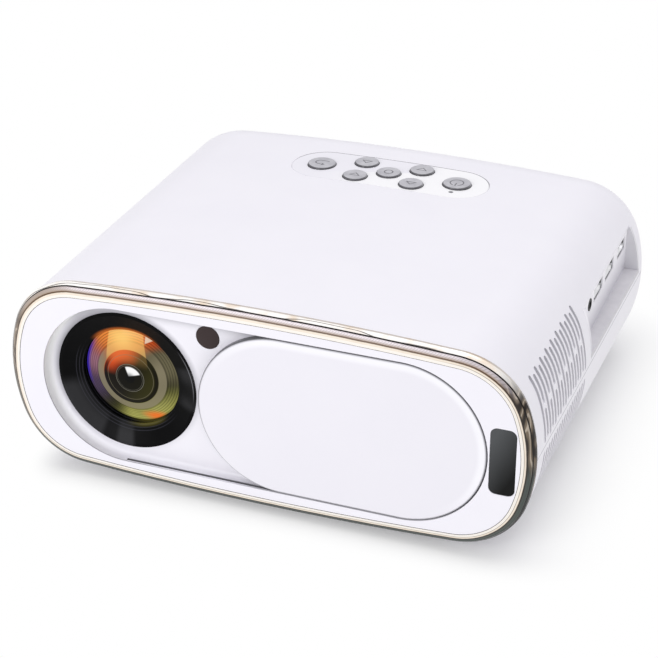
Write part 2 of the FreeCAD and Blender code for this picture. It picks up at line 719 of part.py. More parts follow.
def lens_element(y_middle, radius, front_sag, rear_sag, edge):
    """A lens: two spherical caps on a short cylinder, each cap given by its sag."""
    shape = rod(radius, (LENS_X, y_middle - edge / 2, 0), (0, 1, 0), edge)
    for sag, sign in ((front_sag, -1), (rear_sag, 1)):
        if abs(sag) < 0.05:
            continue
        cap_r = radius - LENS_RIM
        ball_r = (cap_r ** 2 + sag ** 2) / (2 * abs(sag))
        face_y = y_middle + sign * edge / 2
        ball = Part.makeSphere(ball_r, V(LENS_X, face_y + sign * (sag - math.copysign(ball_r, sag)), 0))
        if sag > 0:
            half = rod(cap_r, (LENS_X, face_y, 0), (0, sign, 0), sag + 1)
            shape = shape.fuse(ball.common(half))
        else:
            shape = shape.cut(ball)
    return shape.removeSplitter()


LENS_SEATS = {  # middle, radius, front sag, rear sag, edge thickness
    "front_lens": (BARREL_Y + LENS_SEAT_IN, HOOD_THROAT_R, LENS_FRONT_SAG, -1.2, LENS_T),
    "middle_lens": (BARREL_Y + 20.0, 16.0, -1.6, -1.6, 4.6),
    "rear_lens": (BARREL_Y + 36.0, 19.0, 2.4, 2.8, 2.6),
}


def lens_barrel():
    """Sliding barrel: a tube with a bored seat for each lens and an arm with the focus nut."""
    barrel = rod(BARREL_R, (LENS_X, BARREL_Y, 0), (0, 1, 0), BARREL_LEN)
    bores = []
    for y_middle, radius, _, _, edge in LENS_SEATS.values():
        bores.append(rod(radius, (LENS_X, y_middle - edge / 2, 0), (0, 1, 0), edge))
    front_y, front_r = LENS_SEATS["front_lens"][0], LENS_SEATS["front_lens"][1]
    bores.append(rod(front_r, (LENS_X, BARREL_Y - 1, 0), (0, 1, 0), front_y - BARREL_Y + 1))
    for name in ("front_lens", "middle_lens", "rear_lens"):
        y_middle, radius, _, rear_sag, edge = LENS_SEATS[name]
        room = edge / 2 + max(rear_sag, 0) + 1.0
        bores.append(rod(radius - LENS_LIP, (LENS_X, y_middle, 0), (0, 1, 0), room + 1.5))
        bores.append(rod(radius - LENS_LIP, (LENS_X, y_middle, 0), (0, -1, 0), edge / 2 + 4.0))
    bores.append(rod(BORE_R, (LENS_X, BARREL_Y + 5, 0), (0, 1, 0), BARREL_LEN))
    rear_y, rear_r = LENS_SEATS["rear_lens"][0], LENS_SEATS["rear_lens"][1]
    bores.append(rod(rear_r, (LENS_X, rear_y, 0), (0, 1, 0), BARREL_Y1 - rear_y + 1))
    barrel = without(barrel, bores)
    sx, sz = SCREW_AT
    arm = box(0, SCREW_OUT, BARREL_Y, BARREL_Y + ARM_T, -ARM_HALF_W, ARM_HALF_W)
    arm.rotate(V(0, 0, 0), V(0, 1, 0), -FOCUS_ANGLE)
    arm.translate(V(LENS_X, 0, 0))
    arm = arm.cut(rod(BARREL_R - 0.5, (LENS_X, BARREL_Y - 1, 0), (0, 1, 0), 9))
    nut = rod(FOCUS_NUT_R, (sx, BARREL_Y, sz), (0, 1, 0), ARM_T)
    return joined([barrel, arm, nut]).cut(rod(FOCUS_SCREW_R + RUN, (sx, BARREL_Y - 1, sz), (0, 1, 0), 9))


def lens_mount():
    """Fixed sleeve round the barrel with a flange on the light engine and a bracket for the motor."""
    y0 = MOUNT_Y
    sx, sz = SCREW_AT
    sleeve = rod(BARREL_R + MOUNT_WALL, (LENS_X, y0, 0), (0, 1, 0), MOUNT_Y1 - y0)
    half = MOUNT_FLANGE_HALF_W
    flange = box(LENS_X - half, LENS_X + half, MOUNT_Y1 - MOUNT_FLANGE_T, MOUNT_Y1,
                 ENGINE_Z0 + 1, ENGINE_Z1 - 1)
    plate_y = BRACKET_Y1 - FOCUS_BRACKET_T
    bracket = rod(FOCUS_MOTOR_R + FOCUS_BRACKET_OUT, (sx, plate_y, sz), (0, 1, 0), FOCUS_BRACKET_T)
    web = box(0, SCREW_OUT, plate_y, BRACKET_Y1, -FOCUS_WEB_HALF_W, FOCUS_WEB_HALF_W)
    web.rotate(V(0, 0, 0), V(0, 1, 0), -FOCUS_ANGLE)
    web.translate(V(LENS_X, 0, 0))
    bore = rod(BARREL_R + RUN, (LENS_X, y0 - 1, 0), (0, 1, 0), MOUNT_Y1 - y0 + 2)
    screw_hole = rod(FOCUS_SCREW_R + RUN, (sx, y0, sz), (0, 1, 0), 6)
    return joined([sleeve, flange, bracket, web]).cut([bore, screw_hole])


def focus_motor():
    sx, sz = SCREW_AT
    can = rod(FOCUS_MOTOR_R, (sx, BRACKET_Y1, sz), (0, 1, 0), FOCUS_MOTOR_LEN)
    return can.cut(rod(FOCUS_SCREW_R + RUN, (sx, BRACKET_Y1, sz), (0, 1, 0), FOCUS_SCREW_TAIL + 0.5))


def focus_screw():
    """Lead screw through the nut and the bracket, its tail in the motor."""
    sx, sz = SCREW_AT
    y0 = BARREL_Y - FOCUS_IN - FOCUS_SCREW_NOSE
    return rod(FOCUS_SCREW_R, (sx, y0, sz), (0, 1, 0), BRACKET_Y1 + FOCUS_SCREW_TAIL - y0)


ENGINE_X0 = LENS_X - ENGINE_W / 2
ENGINE_X1 = LENS_X + ENGINE_W / 2


def engine_inside(y0, y1):
    w = ENGINE_WALL
    return box(ENGINE_X0 + w, ENGINE_X1 - w, y0, y1, ENGINE_Z0 + w, ENGINE_Z1 - w)


def engine_housing():
    """Open-topped trough that holds the optical plates, with a light gate to the lens."""
    w = ENGINE_WALL
    trough = box(ENGINE_X0, ENGINE_X1, ENGINE_Y0, ENGINE_Y1, ENGINE_Z0, ENGINE_Z1 - w)
    g = GATE_HALF
    gate = box(LENS_X - g, LENS_X + g, ENGINE_Y0 - 1, ENGINE_Y0 + w + 1, -g, g)
    inside = box(ENGINE_X0 + w, ENGINE_X1 - w, ENGINE_Y0 + w, ENGINE_Y1 + 1, ENGINE_Z0 + w, ENGINE_Z1)
    f = ENGINE_FOOT
    feet = [box(x, x + f, y, y + f, FRAME_Z1, ENGINE_Z0)
            for x in (ENGINE_X0, ENGINE_X1 - f) for y in (ENGINE_Y0, ENGINE_Y1 - f)]
    return joined([trough.cut([gate, inside])] + feet)


def engine_cover():
    return box(ENGINE_X0, ENGINE_X1, ENGINE_Y0, ENGINE_Y1, ENGINE_Z1 - ENGINE_WALL, ENGINE_Z1)


def optical_plate(y0, thickness):
    """A plate that fills the trough from wall to wall."""
    return engine_inside(y0, y0 + thickness)


def fresnel_lenses():
    return Part.makeCompound([optical_plate(y, FRESNEL_T) for y in (FRESNEL_FRONT_Y, FRESNEL_REAR_Y)])


def lcd_panel():
    """Glass cell in a frame, with its ribbon's edge at the top."""
    frame = optical_plate(LCD_Y, LCD_T)
    b, w = LCD_BORDER, ENGINE_WALL
    pocket = box(ENGINE_X0 + w + b, ENGINE_X1 - w - b, LCD_Y - 1, LCD_Y + LCD_SINK,
                 ENGINE_Z0 + w + b, ENGINE_Z1 - w - b)
    return frame.cut(pocket)


def condenser_lens():
    """Plano-convex lens on a square flange that stands in the trough."""
    flange = optical_plate(CONDENSER_Y, CONDENSER_FLANGE_T)
    ball_r = (CONDENSER_R ** 2 + CONDENSER_SAG ** 2) / (2 * CONDENSER_SAG)
    face_y = CONDENSER_Y
    ball = Part.makeSphere(ball_r, V(LENS_X, face_y - CONDENSER_SAG + ball_r, 0))
    cap = ball.common(rod(CONDENSER_R, (LENS_X, face_y, 0), (0, -1, 0), CONDENSER_SAG + 1))
    return joined([flange, cap])


def led_board():
    """Copper-core board that closes the rear of the trough, with the light source on it."""
    board = box(ENGINE_X0, ENGINE_X1, ENGINE_Y1, SINK_Y0, ENGINE_Z0, ENGINE_Z1)
    source = box(LENS_X - LED_SIZE / 2, LENS_X + LED_SIZE / 2, ENGINE_Y1 - LED_T, ENGINE_Y1, -LED_SIZE / 2,
                 LED_SIZE / 2)
    return joined([board, source])


def heatsink():
    """Base plate with upright fins towards the exhaust fan."""
    x0, z0 = LENS_X - SINK_W / 2, -SINK_H / 2
    base = box(x0, x0 + SINK_W, SINK_Y0, SINK_Y0 + SINK_BASE_T, z0, z0 + SINK_H)
    pitch = (SINK_W - SINK_FIN_T) / (SINK_FINS - 1)
    fins = [box(x0 + i * pitch, x0 + i * pitch + SINK_FIN_T, SINK_Y0 + SINK_BASE_T,
                SINK_Y0 + SINK_BASE_T + SINK_FIN_LEN, z0, z0 + SINK_H) for i in range(SINK_FINS)]
    return joined([base] + fins)


# ================================================================ fans
def fan_parts(size):
    """A fan lying in the XY plane, axis up through the origin: its frame and its rotor."""
    half = size / 2
    tip = half - FAN_RING - FAN_TIP_GAP
    hub = tip * FAN_HUB
    frame = box(-half, half, -half, half, 0, FAN_T)
    corners = edges_at(frame, lambda b: b.ZLength > FAN_T - 0.01)
    duct = rod(half - FAN_RING, (0, 0, -1), (0, 0, 1), FAN_T + 2)
    frame = frame.makeFillet(FAN_CORNER_R, corners).cut(duct)
    spider = [rod(hub, (0, 0, 0), (0, 0, 1), FAN_FLOOR_T)]
    for turn in range(FAN_ARMS):
        arm = box(0, half - FAN_RING + 0.5, -FAN_ARM_W / 2, FAN_ARM_W / 2, 0, FAN_FLOOR_T)
        arm.rotate(V(0, 0, 0), V(0, 0, 1), 30 + 360 / FAN_ARMS * turn)
        spider.append(arm)
    pin = rod(FAN_PIN_R, (0, 0, 0), (0, 0, 1), FAN_T - FAN_PIN_END)
    screw_at = half - FAN_SCREW_IN
    holes = [rod(FAN_SCREW_R, (sx * screw_at, sy * screw_at, -1), (0, 0, 1), FAN_T + 2)
             for sx in (-1, 1) for sy in (-1, 1)]
    frame = joined([frame] + spider + [pin]).cut(holes)

    z0, z1 = FAN_FLOOR_T + FAN_CUP_GAP, FAN_T - FAN_CUP_SINK
    cup = rod(hub, (0, 0, z0), (0, 0, 1), z1 - z0)
    blades = []
    for number in range(FAN_BLADES):
        w, t = FAN_BLADE_CHORD / 2, FAN_BLADE_T / 2
        blade = box(hub - 1.5, tip + 2, -w, w, -t, t)
        blade.rotate(V(0, 0, 0), V(1, 0, 0), FAN_BLADE_ANGLE)
        blade.translate(V(0, 0, (z0 + z1) / 2))
        blade.rotate(V(0, 0, 0), V(0, 0, 1), 360 / FAN_BLADES * number)
        blades.append(blade)
    sweep = tube(tip, hub - 0.5, (0, 0, z0 + 0.2), (0, 0, 1), z1 - z0 - 0.4)
    rotor = cup.fuse([b.common(sweep) for b in blades])
    return frame, rotor.cut(rod(FAN_PIN_R + RUN, (0, 0, 0), (0, 0, 1), FAN_T - FAN_PIN_END + 0.3))


SIDE_FAN_X = FACE_HALF_W + SHELL_OUT - SIDE_FAN_INSET
SIDE_FAN_Y = VENT_FIRST_Y + VENT_PITCH * (VENT_COUNT - 1) / 2
REAR_FAN_X = LENS_X


def placed_fan(size, axis, place):
    """Both fan pieces with the open face turned to axis."""
    pieces = []
    for piece in fan_parts(size):
        piece = piece.copy()
        if axis == "x":
            piece.rotate(V(0, 0, 0), V(0, 1, 0), 90)
        else:
            piece.rotate(V(0, 0, 0), V(1, 0, 0), -90)
        piece.translate(V(*place))
        pieces.append(piece)
    return pieces


# ================================================================ boards and sockets
MAIN_BOARD_X1 = BAY_WALL_X - BAY_T - 3.0


def hdmi_socket(y):
    """Sheet-metal shell with a tongue, open towards the bay."""
    x1 = BAY_WALL_X - SOCKET_SINK
    x0 = x1 - HDMI_DEPTH
    half, z0, z1 = HDMI_W / 2, PORT_Z - HDMI_H / 2, PORT_Z + HDMI_H / 2
    s = SOCKET_SHEET
    shell = box(x0, x1, y - half, y + half, z0, z1)
    lower = edges_at(shell, lambda b: b.XLength > 1 and b.ZMax < z0 + 0.01)
    shell = shell.makeChamfer(HDMI_CHAMFER, lower)
    hollow = box(x0 + HDMI_BACK_T, x1 + 1, y - half + s, y + half - s, z0 + s, z1 - s)
    lower = edges_at(hollow, lambda b: b.XLength > 1 and b.ZMax < z0 + s + 0.01)
    hollow = hollow.makeChamfer(HDMI_CHAMFER - 0.1, lower)
    w = HDMI_TONGUE_W / 2
    tongue = box(x0 + TONGUE_ROOT, x1 - 1.5, y - w, y + w, PORT_Z - 0.2, PORT_Z - 0.2 + HDMI_TONGUE_T)
    return joined([shell.cut(hollow), tongue])


def usb_socket():
    x1 = BAY_WALL_X - SOCKET_SINK
    x0 = x1 - USB_DEPTH
    half, z0 = USB_W / 2, BOARD_Z1
    z1 = z0 + USB_H
    s = SOCKET_SHEET
    shell = box(x0, x1, USB_Y - half, USB_Y + half, z0, z1)
    hollow = box(x0 + USB_BACK_T, x1 + 1, USB_Y - half + s, USB_Y + half - s, z0 + s, z1 - s)
    w, top = USB_TONGUE_W / 2, z1 - 2 * s
    tongue = box(x0 + TONGUE_ROOT, x1 - 0.8, USB_Y - w, USB_Y + w, top - USB_TONGUE_T, top)
    return joined([shell.cut(hollow), tongue])


def audio_socket():
    """Block on the board with a round collar that shows in the bay."""
    z0 = BOARD_Z1
    x1 = BAY_WALL_X - BAY_T - FIT
    block = box(x1 - JACK_LEN + 2, x1, JACK_Y - JACK_HALF, JACK_Y + JACK_HALF, z0, PORT_Z + JACK_HALF)
    collar = rod(JACK_COLLAR_R, (x1, JACK_Y, PORT_Z), (1, 0, 0), BAY_T + FIT + JACK_PROUD)
    bore = rod(JACK_R, (BAY_WALL_X + JACK_PROUD, JACK_Y, PORT_Z), (-1, 0, 0), JACK_LEN)
    return joined([block, collar]).cut(bore)


def main_board():
    """Circuit board behind the port bay, with its larger components."""
    z1, z0 = BOARD_Z1, BOARD_Z1 - BOARD_T
    x0, x1 = MAIN_BOARD_X0, MAIN_BOARD_X1
    y0 = MAIN_BOARD_Y0
    board = box(x0, x1, y0, MAIN_BOARD_Y1, z0, z1)
    chips = [box(x0 + cx - w / 2, x0 + cx + w / 2, y0 + cy - d / 2, y0 + cy + d / 2, z1, z1 + h)
             for cx, cy, w, d, h in CHIPS]
    cans = [rod(CAN_R, (x0 + CAN_AT[0] + CAN_PITCH * i, y0 + CAN_AT[1], z1), (0, 0, 1), CAN_H)
            for i in range(CANS)]
    cx, cy, w, d, h = CHIPS[0]
    first, pitch = x0 + cx - w / 2 + 1.0, (w - 2.0 - CHIP_FIN_T) / (CHIP_FINS - 1)
    fins = [box(first + pitch * i, first + pitch * i + CHIP_FIN_T, y0 + cy - d / 2, y0 + cy + d / 2,
                z1 + h, z1 + h + CHIP_FIN_H) for i in range(CHIP_FINS)]
    return joined([board] + chips + cans + fins)


def power_board():
    """Supply board over the drive: transformer, filter coil, capacitors and cooling plate."""
    x0, x1 = POWER_BOARD_X
    y0, y1 = POWER_BOARD_Y1 - POWER_BOARD_LEN, POWER_BOARD_Y1
    z0 = FRAME_Z1 + POWER_STAND
    z1 = z0 + BOARD_T
    board = box(x0, x1, y0, y1, z0, z1)
    w, d, h = TRANSFORMER
    tx, ty = x0 + TRANSFORMER_IN[0], y0 + TRANSFORMER_IN[1]
    transformer = box(tx, tx + w, ty, ty + d, z1, z1 + h)
    coil = rod(COIL_R, (x1 - COIL_IN[0], y1 - COIL_IN[1], z1), (0, 0, 1), COIL_H)
    bulk = rod(BULK_R, (x1 - BULK_IN[0], y0 + BULK_IN[1], z1), (0, 0, 1), BULK_H)
    sx, sy = x0 + SMALL_CAN_IN[0], y0 + SMALL_CAN_IN[1]
    small = [rod(SMALL_CAN_R, (sx + SMALL_CAN_PITCH * i, sy, z1), (0, 0, 1), SMALL_CAN_H)
             for i in range(CANS)]
    px0, px1, py = x0 + COOLING_PLATE_X[0], x1 - COOLING_PLATE_X[1], y1 - COOLING_PLATE_Y
    plate = box(px0, px1, py, py + COOLING_PLATE_T, z1, z1 + COOLING_PLATE_H)
    s = POWER_STAND_IN
    stands = [rod(POWER_STAND_R, (x, y, FRAME_Z1), (0, 0, 1), POWER_STAND)
              for x in (x0 + s, x1 - s) for y in (y0 + s, y1 - s)]
    return joined([board, transformer, coil, bulk, plate] + small + stands)


# ================================================================ key panel
PANEL_UNDER_Z = roof_z(PANEL_Y) - PANEL_T
PAD_UNDER_Z = PANEL_UNDER_Z - PANEL_PAD_T
FLANGE_TOP_Z = PAD_UNDER_Z - GAP
KEYS = {  # name: x, y, radius
    "key_back": (BACK_KEY_X, KEY_ROW_Y, ROUND_KEY_R),
    "key_power": (POWER_KEY_X, KEY_ROW_Y, ROUND_KEY_R),
    "key_select": (KEY_X, KEY_ROW_Y, KEY_R),
    "key_left": (KEY_X - ARROW_DX, KEY_ROW_Y - ARROW_DY, KEY_R),
    "key_right": (KEY_X + ARROW_DX, KEY_ROW_Y - ARROW_DY, KEY_R),
    "key_up": (KEY_X - ARROW_DX, KEY_ROW_Y + ARROW_DY, KEY_R),
    "key_down": (KEY_X + ARROW_DX, KEY_ROW_Y + ARROW_DY, KEY_R),
}
SWITCH_TOP_Z = KEY_BOARD_Z + KEY_BOARD_T + SWITCH_T


def key_holes():
    """The hole of every key, and of the status light, through plate and roof."""
    holes = [rod(r + GAP, (x, y, KEY_BOARD_Z), (0, 0, 1), 20) for x, y, r in KEYS.values()]
    return holes + [rod(LIGHT_R + FIT, (LIGHT_X, LIGHT_Y, KEY_BOARD_Z), (0, 0, 1), 20)]


def control_panel():
    """Glossy oval plate, flush with the roof."""
    plate = oval_z(PANEL_X0, PANEL_X1, PANEL_HALF_W, PANEL_UNDER_Z, PANEL_UNDER_Z + 20, PANEL_Y)
    return plate.common(OUTER).cut(key_holes())


def key(x, y, r):
    """A round cap with a retaining flange below and a stem down to its switch."""
    top = roof_z(y, x) + KEY_PROUD
    cap = rod(r, (x, y, FLANGE_TOP_Z), (0, 0, 1), top - FLANGE_TOP_Z)
    cap = cap.makeFillet(KEY_EDGE, edges_at(cap, lambda b: b.ZMin > top - 0.01))
    flange = rod(r + KEY_FLANGE_OUT, (x, y, FLANGE_TOP_Z - KEY_FLANGE_T), (0, 0, 1), KEY_FLANGE_T)
    stem_z = SWITCH_TOP_Z + KEY_TRAVEL + KEY_STEM_GAP
    stem = rod(KEY_STEM_R, (x, y, stem_z), (0, 0, 1), FLANGE_TOP_Z - KEY_FLANGE_T - stem_z)
    return joined([cap, flange, stem])


def key_board():
    """Long narrow board under the keys with one low switch for each."""
    z0, z1 = KEY_BOARD_Z, KEY_BOARD_Z + KEY_BOARD_T
    board = box(PANEL_X0 + KEY_BOARD_END, PANEL_X1 - KEY_BOARD_END, PANEL_Y - KEY_BOARD_HALF_W,
                PANEL_Y + KEY_BOARD_HALF_W, z0, z1)
    h = SWITCH_HALF
    switches = []
    for x, y, _ in KEYS.values():
        switches.append(box(x - h, x + h, y - h, y + h, z1, z1 + SWITCH_T - SWITCH_PLUNGER_T))
        switches.append(rod(SWITCH_PLUNGER_R, (x, y, z1), (0, 0, 1), SWITCH_T))
    return joined([board] + switches)


def status_light():
    z0 = KEY_BOARD_Z + KEY_BOARD_T
    top = roof_z(LIGHT_Y, LIGHT_X, LIGHT_SINK)
    return rod(LIGHT_R, (LIGHT_X, LIGHT_Y, z0), (0, 0, 1), top - z0)


# ================================================================ port bay, rear panel and mains inlet
def port_bay():
    """Tub let into the right side: a wall with the socket holes, a floor and two ends."""
    t = BAY_T
    tub = box(BAY_WALL_X - t, FACE_HALF_W + 20, BAY_Y0 - t, BAY_Y1 + t, BAY_FLOOR_Z - t, BAY_TOP_Z)
    hollow = box(BAY_WALL_X, FACE_HALF_W + 21, BAY_Y0, BAY_Y1, BAY_FLOOR_Z, HALF_H + 1)
    x0, x1 = BAY_WALL_X - t - 1, BAY_WALL_X + 1
    f = FIT
    sockets = [(y, HDMI_W, HDMI_H) for y in HDMI_Y] + [(USB_Y, USB_W, USB_H)]
    holes = [box(x0, x1, y - w / 2 - f, y + w / 2 + f, BOARD_Z1 - f, BOARD_Z1 + h + f) for y, w, h in sockets]
    holes.append(rod(JACK_COLLAR_R + f, (x0, JACK_Y, PORT_Z), (1, 0, 0), t + 2))
    holes.append(rod(RESET_R, (x0, RESET_Y, PORT_Z + RESET_UP), (1, 0, 0), t + 2))
    return tub.common(OUTER).cut([hollow] + holes)


def bay_opening():
    """What the bay takes out of the case: the tub with its fit, and above it the space under the lip."""
    t = BAY_T + FIT
    seat = box(BAY_WALL_X - t, FACE_HALF_W + 30, BAY_Y0 - t, BAY_Y1 + t, BAY_FLOOR_Z - t, BAY_TOP_Z + FIT)
    mouth = box(BAY_WALL_X + BAY_LIP, FACE_HALF_W + 30, BAY_Y0, BAY_Y1, BAY_TOP_Z, HALF_H + 5)
    return seat.fuse(mouth)


def rear_block(grow, y0, y1):
    w = REAR_PANEL_HALF_W + grow
    return rounded_block(-w, w, y0, y1, REAR_PANEL_Z0 - grow, REAR_PANEL_Z1 + grow, REAR_PANEL_CORNER)


def slot_row(middle_x, count):
    """Upright slots through the rear panel."""
    first = middle_x - REAR_SLOT_PITCH * (count - 1) / 2
    z0, z1 = REAR_PANEL_Z0 + REAR_SLOT_END, REAR_PANEL_Z1 - REAR_SLOT_END
    return [box(first + REAR_SLOT_PITCH * i - REAR_SLOT_W / 2, first + REAR_SLOT_PITCH * i + REAR_SLOT_W / 2,
                REAR_INNER_Y - 10, BODY_DEPTH + 1, z0, z1) for i in range(count)]


def inlet_block(grow, y0, y1):
    w, h = INLET_W / 2 + grow, INLET_H / 2 + grow
    return rounded_block(INLET_X - w, INLET_X + w, y0, y1, INLET_Z - h, INLET_Z + h, INLET_CORNER)


def rear_panel():
    """Flat panel in the rear face with a flange inside, exhaust and intake slots and the inlet's hole."""
    plate = rear_block(-FIT, REAR_INNER_Y - 0.5, BODY_DEPTH)
    flange = rear_block(REAR_FLANGE, REAR_INNER_Y - REAR_FLANGE_T, REAR_INNER_Y)
    cuts = slot_row(REAR_FAN_X, EXHAUST_SLOTS) + slot_row(INTAKE_X, INTAKE_SLOTS)
    return joined([plate, flange]).cut(cuts + [inlet_block(FIT, REAR_INNER_Y - 5, BODY_DEPTH + 1)])


def mains_inlet():
    """Two-pin inlet: a block with an oval mouth, two pins and two solder tags."""
    y1 = BODY_DEPTH - INLET_SINK
    y0 = y1 - INLET_DEPTH
    block = inlet_block(0.0, y0, y1)
    half = INLET_MOUTH_W / 2
    mouth = oval_y(INLET_X - half, INLET_X + half, INLET_MOUTH_H / 2,
                   y1 - INLET_MOUTH_DEPTH, y1 + 1, INLET_Z)
    root_y = y1 - INLET_MOUTH_DEPTH - PIN_ROOT
    pins, tags = [], []
    for x in (INLET_X - PIN_PITCH / 2, INLET_X + PIN_PITCH / 2):
        pins.append(rod(PIN_R, (x, root_y, INLET_Z), (0, 1, 0), PIN_LEN + PIN_ROOT))
        tags.append(box(x - TAG_HALF_W, x + TAG_HALF_W, y0 - TAG_LEN, y0 + PIN_ROOT,
                        INLET_Z - TAG_HALF_T, INLET_Z + TAG_HALF_T))
    return joined([block.cut(mouth)] + pins + tags)


# ================================================================ disc drive
BEZEL_Y0 = DRIVE_Y1 + BEZEL_LIP
TRAY_Y0 = DRIVE_Y0 + TRAY_END
POCKET_Z = TRAY_Z0 + TRAY_FLOOR_T
DISC_Z = TRAY_Z1 - DISC_SINK
ROD_Z = POCKET_Z + FEED_MOTOR_R + 0.2
SLED_Y1 = SLED_POCKET_Y1 - GAP
SLED_Y0 = SLED_Y1 - SLED_LEN
SLED_POCKET_Y0 = SLED_Y0 - SLED_TRAVEL - GAP
SCREW_END_Y = SLED_POCKET_Y1 + SCREW_END
RAIL_Z0 = TRAY_Z0 + (TRAY_T - RAIL_H) / 2


def drive_chassis():
    """Sheet pan, open towards the rear."""
    t, w = DRIVE_SHEET, DRIVE_HALF_W
    pan = box(-w, w, DRIVE_Y0, DRIVE_Y1, DRIVE_Z0, DRIVE_Z1 - t)
    return pan.cut(box(-w + t, w - t, DRIVE_Y0 + t, DRIVE_Y1 + 1, DRIVE_Z0 + t, DRIVE_Z1))


def drive_lid():
    return box(-DRIVE_HALF_W, DRIVE_HALF_W, DRIVE_Y0, DRIVE_Y1, DRIVE_Z1 - DRIVE_SHEET, DRIVE_Z1)


def drive_rails():
    """Two steel slides between the tray's sides and the pan's, half the travel behind the tray."""
    x0 = TRAY_HALF_W + FIT
    x1 = x0 + RAIL_T
    return Part.makeCompound([
        box(min(side * x0, side * x1), max(side * x0, side * x1), TRAY_Y0 + RAIL_END, DRIVE_Y1 - RAIL_END,
            RAIL_Z0, RAIL_Z0 + RAIL_H) for side in (-1, 1)])


def disc_tray():
    """Tray with the disc's shallow recess and deeper pockets for spindle, sled and feed motor."""
    tray = box(-TRAY_HALF_W, TRAY_HALF_W, TRAY_Y0, BEZEL_Y0, TRAY_Z0, TRAY_Z1)
    disc = rod(DISC_R + DISC_CLEAR, (0, SPINDLE_Y, DISC_Z), (0, 0, 1), DISC_SINK + 1)
    spindle = rod(HUB_R + HUB_CLEAR, (0, SPINDLE_Y, POCKET_Z), (0, 0, 1), TRAY_T)
    sled = box(-SLED_POCKET_HALF_W, SLED_POCKET_HALF_W, SLED_POCKET_Y0, SLED_POCKET_Y1,
               POCKET_Z, TRAY_Z1 + 1)
    r = FEED_MOTOR_R + 0.1
    motor = box(SCREW_X - r, SCREW_X + r, SLED_POCKET_Y1 - 0.5, SCREW_END_Y + FEED_MOTOR_LEN,
                POCKET_Z, TRAY_Z1 + 1)
    end_y = BEZEL_Y0 - THUMB_END
    thumb = rod(THUMB_R, (0, end_y, TRAY_Z1 - THUMB_DEPTH), (0, 0, 1), TRAY_T).common(
        box(-THUMB_R, THUMB_R, DRIVE_Y0, end_y, TRAY_Z0, TRAY_Z1 + 1))
    return tray.cut([disc, spindle, sled, motor, thumb])


def bezel_hole(grow, y0):
    half = EJECT_H / 2 + grow
    z = (DRIVE_Z0 + DRIVE_Z1) / 2
    return oval_y(EJECT_X - EJECT_W / 2 - grow, EJECT_X + EJECT_W / 2 + grow, half, y0, BODY_DEPTH + 5, z)


def tray_bezel():
    """The tray's front, cut to the case's own rounded form."""
    front = box(-DRIVE_HALF_W, DRIVE_HALF_W, BEZEL_Y0, BODY_DEPTH + 1, DRIVE_Z0, DRIVE_Z1)
    return front.common(OUTER).cut(bezel_hole(GAP / 2, BEZEL_Y0 - 1))


def eject_button():
    proud = OUTER.copy()
    proud.translate(V(0, EJECT_PROUD, 0))
    return bezel_hole(0.0, BEZEL_Y0 + EJECT_TRAVEL + 0.2).common(proud)


def spindle_motor():
    can = rod(SPINDLE_MOTOR_R, (0, SPINDLE_Y, POCKET_Z), (0, 0, 1), SPINDLE_MOTOR_T)
    return can.cut(rod(SPINDLE_SHAFT_R + RUN, (0, SPINDLE_Y, POCKET_Z + SPINDLE_WELL_T),
                       (0, 0, 1), SPINDLE_MOTOR_T))


def spindle_hub():
    """Turntable with the boss that enters the disc's hole, on its shaft."""
    top = DISC_Z + HUB_PROUD
    shaft_z = POCKET_Z + SPINDLE_WELL_T + 0.2
    profile = [(0, shaft_z), (SPINDLE_SHAFT_R, shaft_z), (SPINDLE_SHAFT_R, top - HUB_T),
               (HUB_R, top - HUB_T),
               (HUB_R, top), (HUB_BOSS_R, top), (HUB_BOSS_R, top + HUB_BOSS_H - HUB_BOSS_EDGE),
               (HUB_BOSS_R - HUB_BOSS_EDGE, top + HUB_BOSS_H), (0, top + HUB_BOSS_H)]
    return turned(profile, (0, SPINDLE_Y, 0), (0, 0, 1))


def sled_rods():
    length = SLED_POCKET_Y1 - SLED_POCKET_Y0
    rods = [rod(ROD_R, (x, SLED_POCKET_Y0, ROD_Z), (0, 1, 0), length) for x in (-ROD_X, ROD_X)]
    return Part.makeCompound(rods)


def feed_screw():
    y0 = SLED_POCKET_Y0 + 0.2
    return rod(SCREW_R, (SCREW_X, y0, ROD_Z), (0, 1, 0), SCREW_END_Y + SCREW_TAIL - y0)


def feed_motor():
    can = rod(FEED_MOTOR_R, (SCREW_X, SCREW_END_Y, ROD_Z), (0, 1, 0), FEED_MOTOR_LEN)
    return can.cut(rod(SCREW_R + RUN, (SCREW_X, SCREW_END_Y, ROD_Z), (0, 1, 0), SCREW_TAIL + 0.3))


def laser_sled():
    """Pickup on two rods, with a nut arm on the screw and the small lens that looks up at the disc."""
    z0 = POCKET_Z + SLED_LIFT
    block = box(-SLED_HALF_W, SLED_HALF_W, SLED_Y0, SLED_Y1, z0, z0 + SLED_T)
    arm_y = (SLED_Y0 + SLED_Y1) / 2 - SLED_ARM / 2
    arm = box(SLED_HALF_W - 1, SCREW_X + SCREW_R + SLED_NUT_WALL, arm_y, arm_y + SLED_ARM, z0, z0 + SLED_T)
    eye_y = SPINDLE_Y - EYE_FROM_SPINDLE
    ring = rod(EYE_RING_R, (0, eye_y, z0 + SLED_T), (0, 0, 1), EYE_RING_H)
    eye = rod(EYE_R, (0, eye_y, z0 + SLED_T), (0, 0, 1), EYE_H)
    bores = [rod(ROD_R + RUN, (x, SLED_Y0 - 1, ROD_Z), (0, 1, 0), SLED_LEN + 2) for x in (-ROD_X, ROD_X)]
    bores.append(rod(SCREW_R + RUN, (SCREW_X, SLED_Y0 - 1, ROD_Z), (0, 1, 0), SLED_LEN + 2))
    return joined([block, arm, ring, eye]).cut(bores)


def drive_opening():
    g = GAP
    w = DRIVE_HALF_W + g
    return box(-w, w, DRIVE_Y1 - 30, BODY_DEPTH + 5, DRIVE_Z0 - g, DRIVE_Z1 + g)


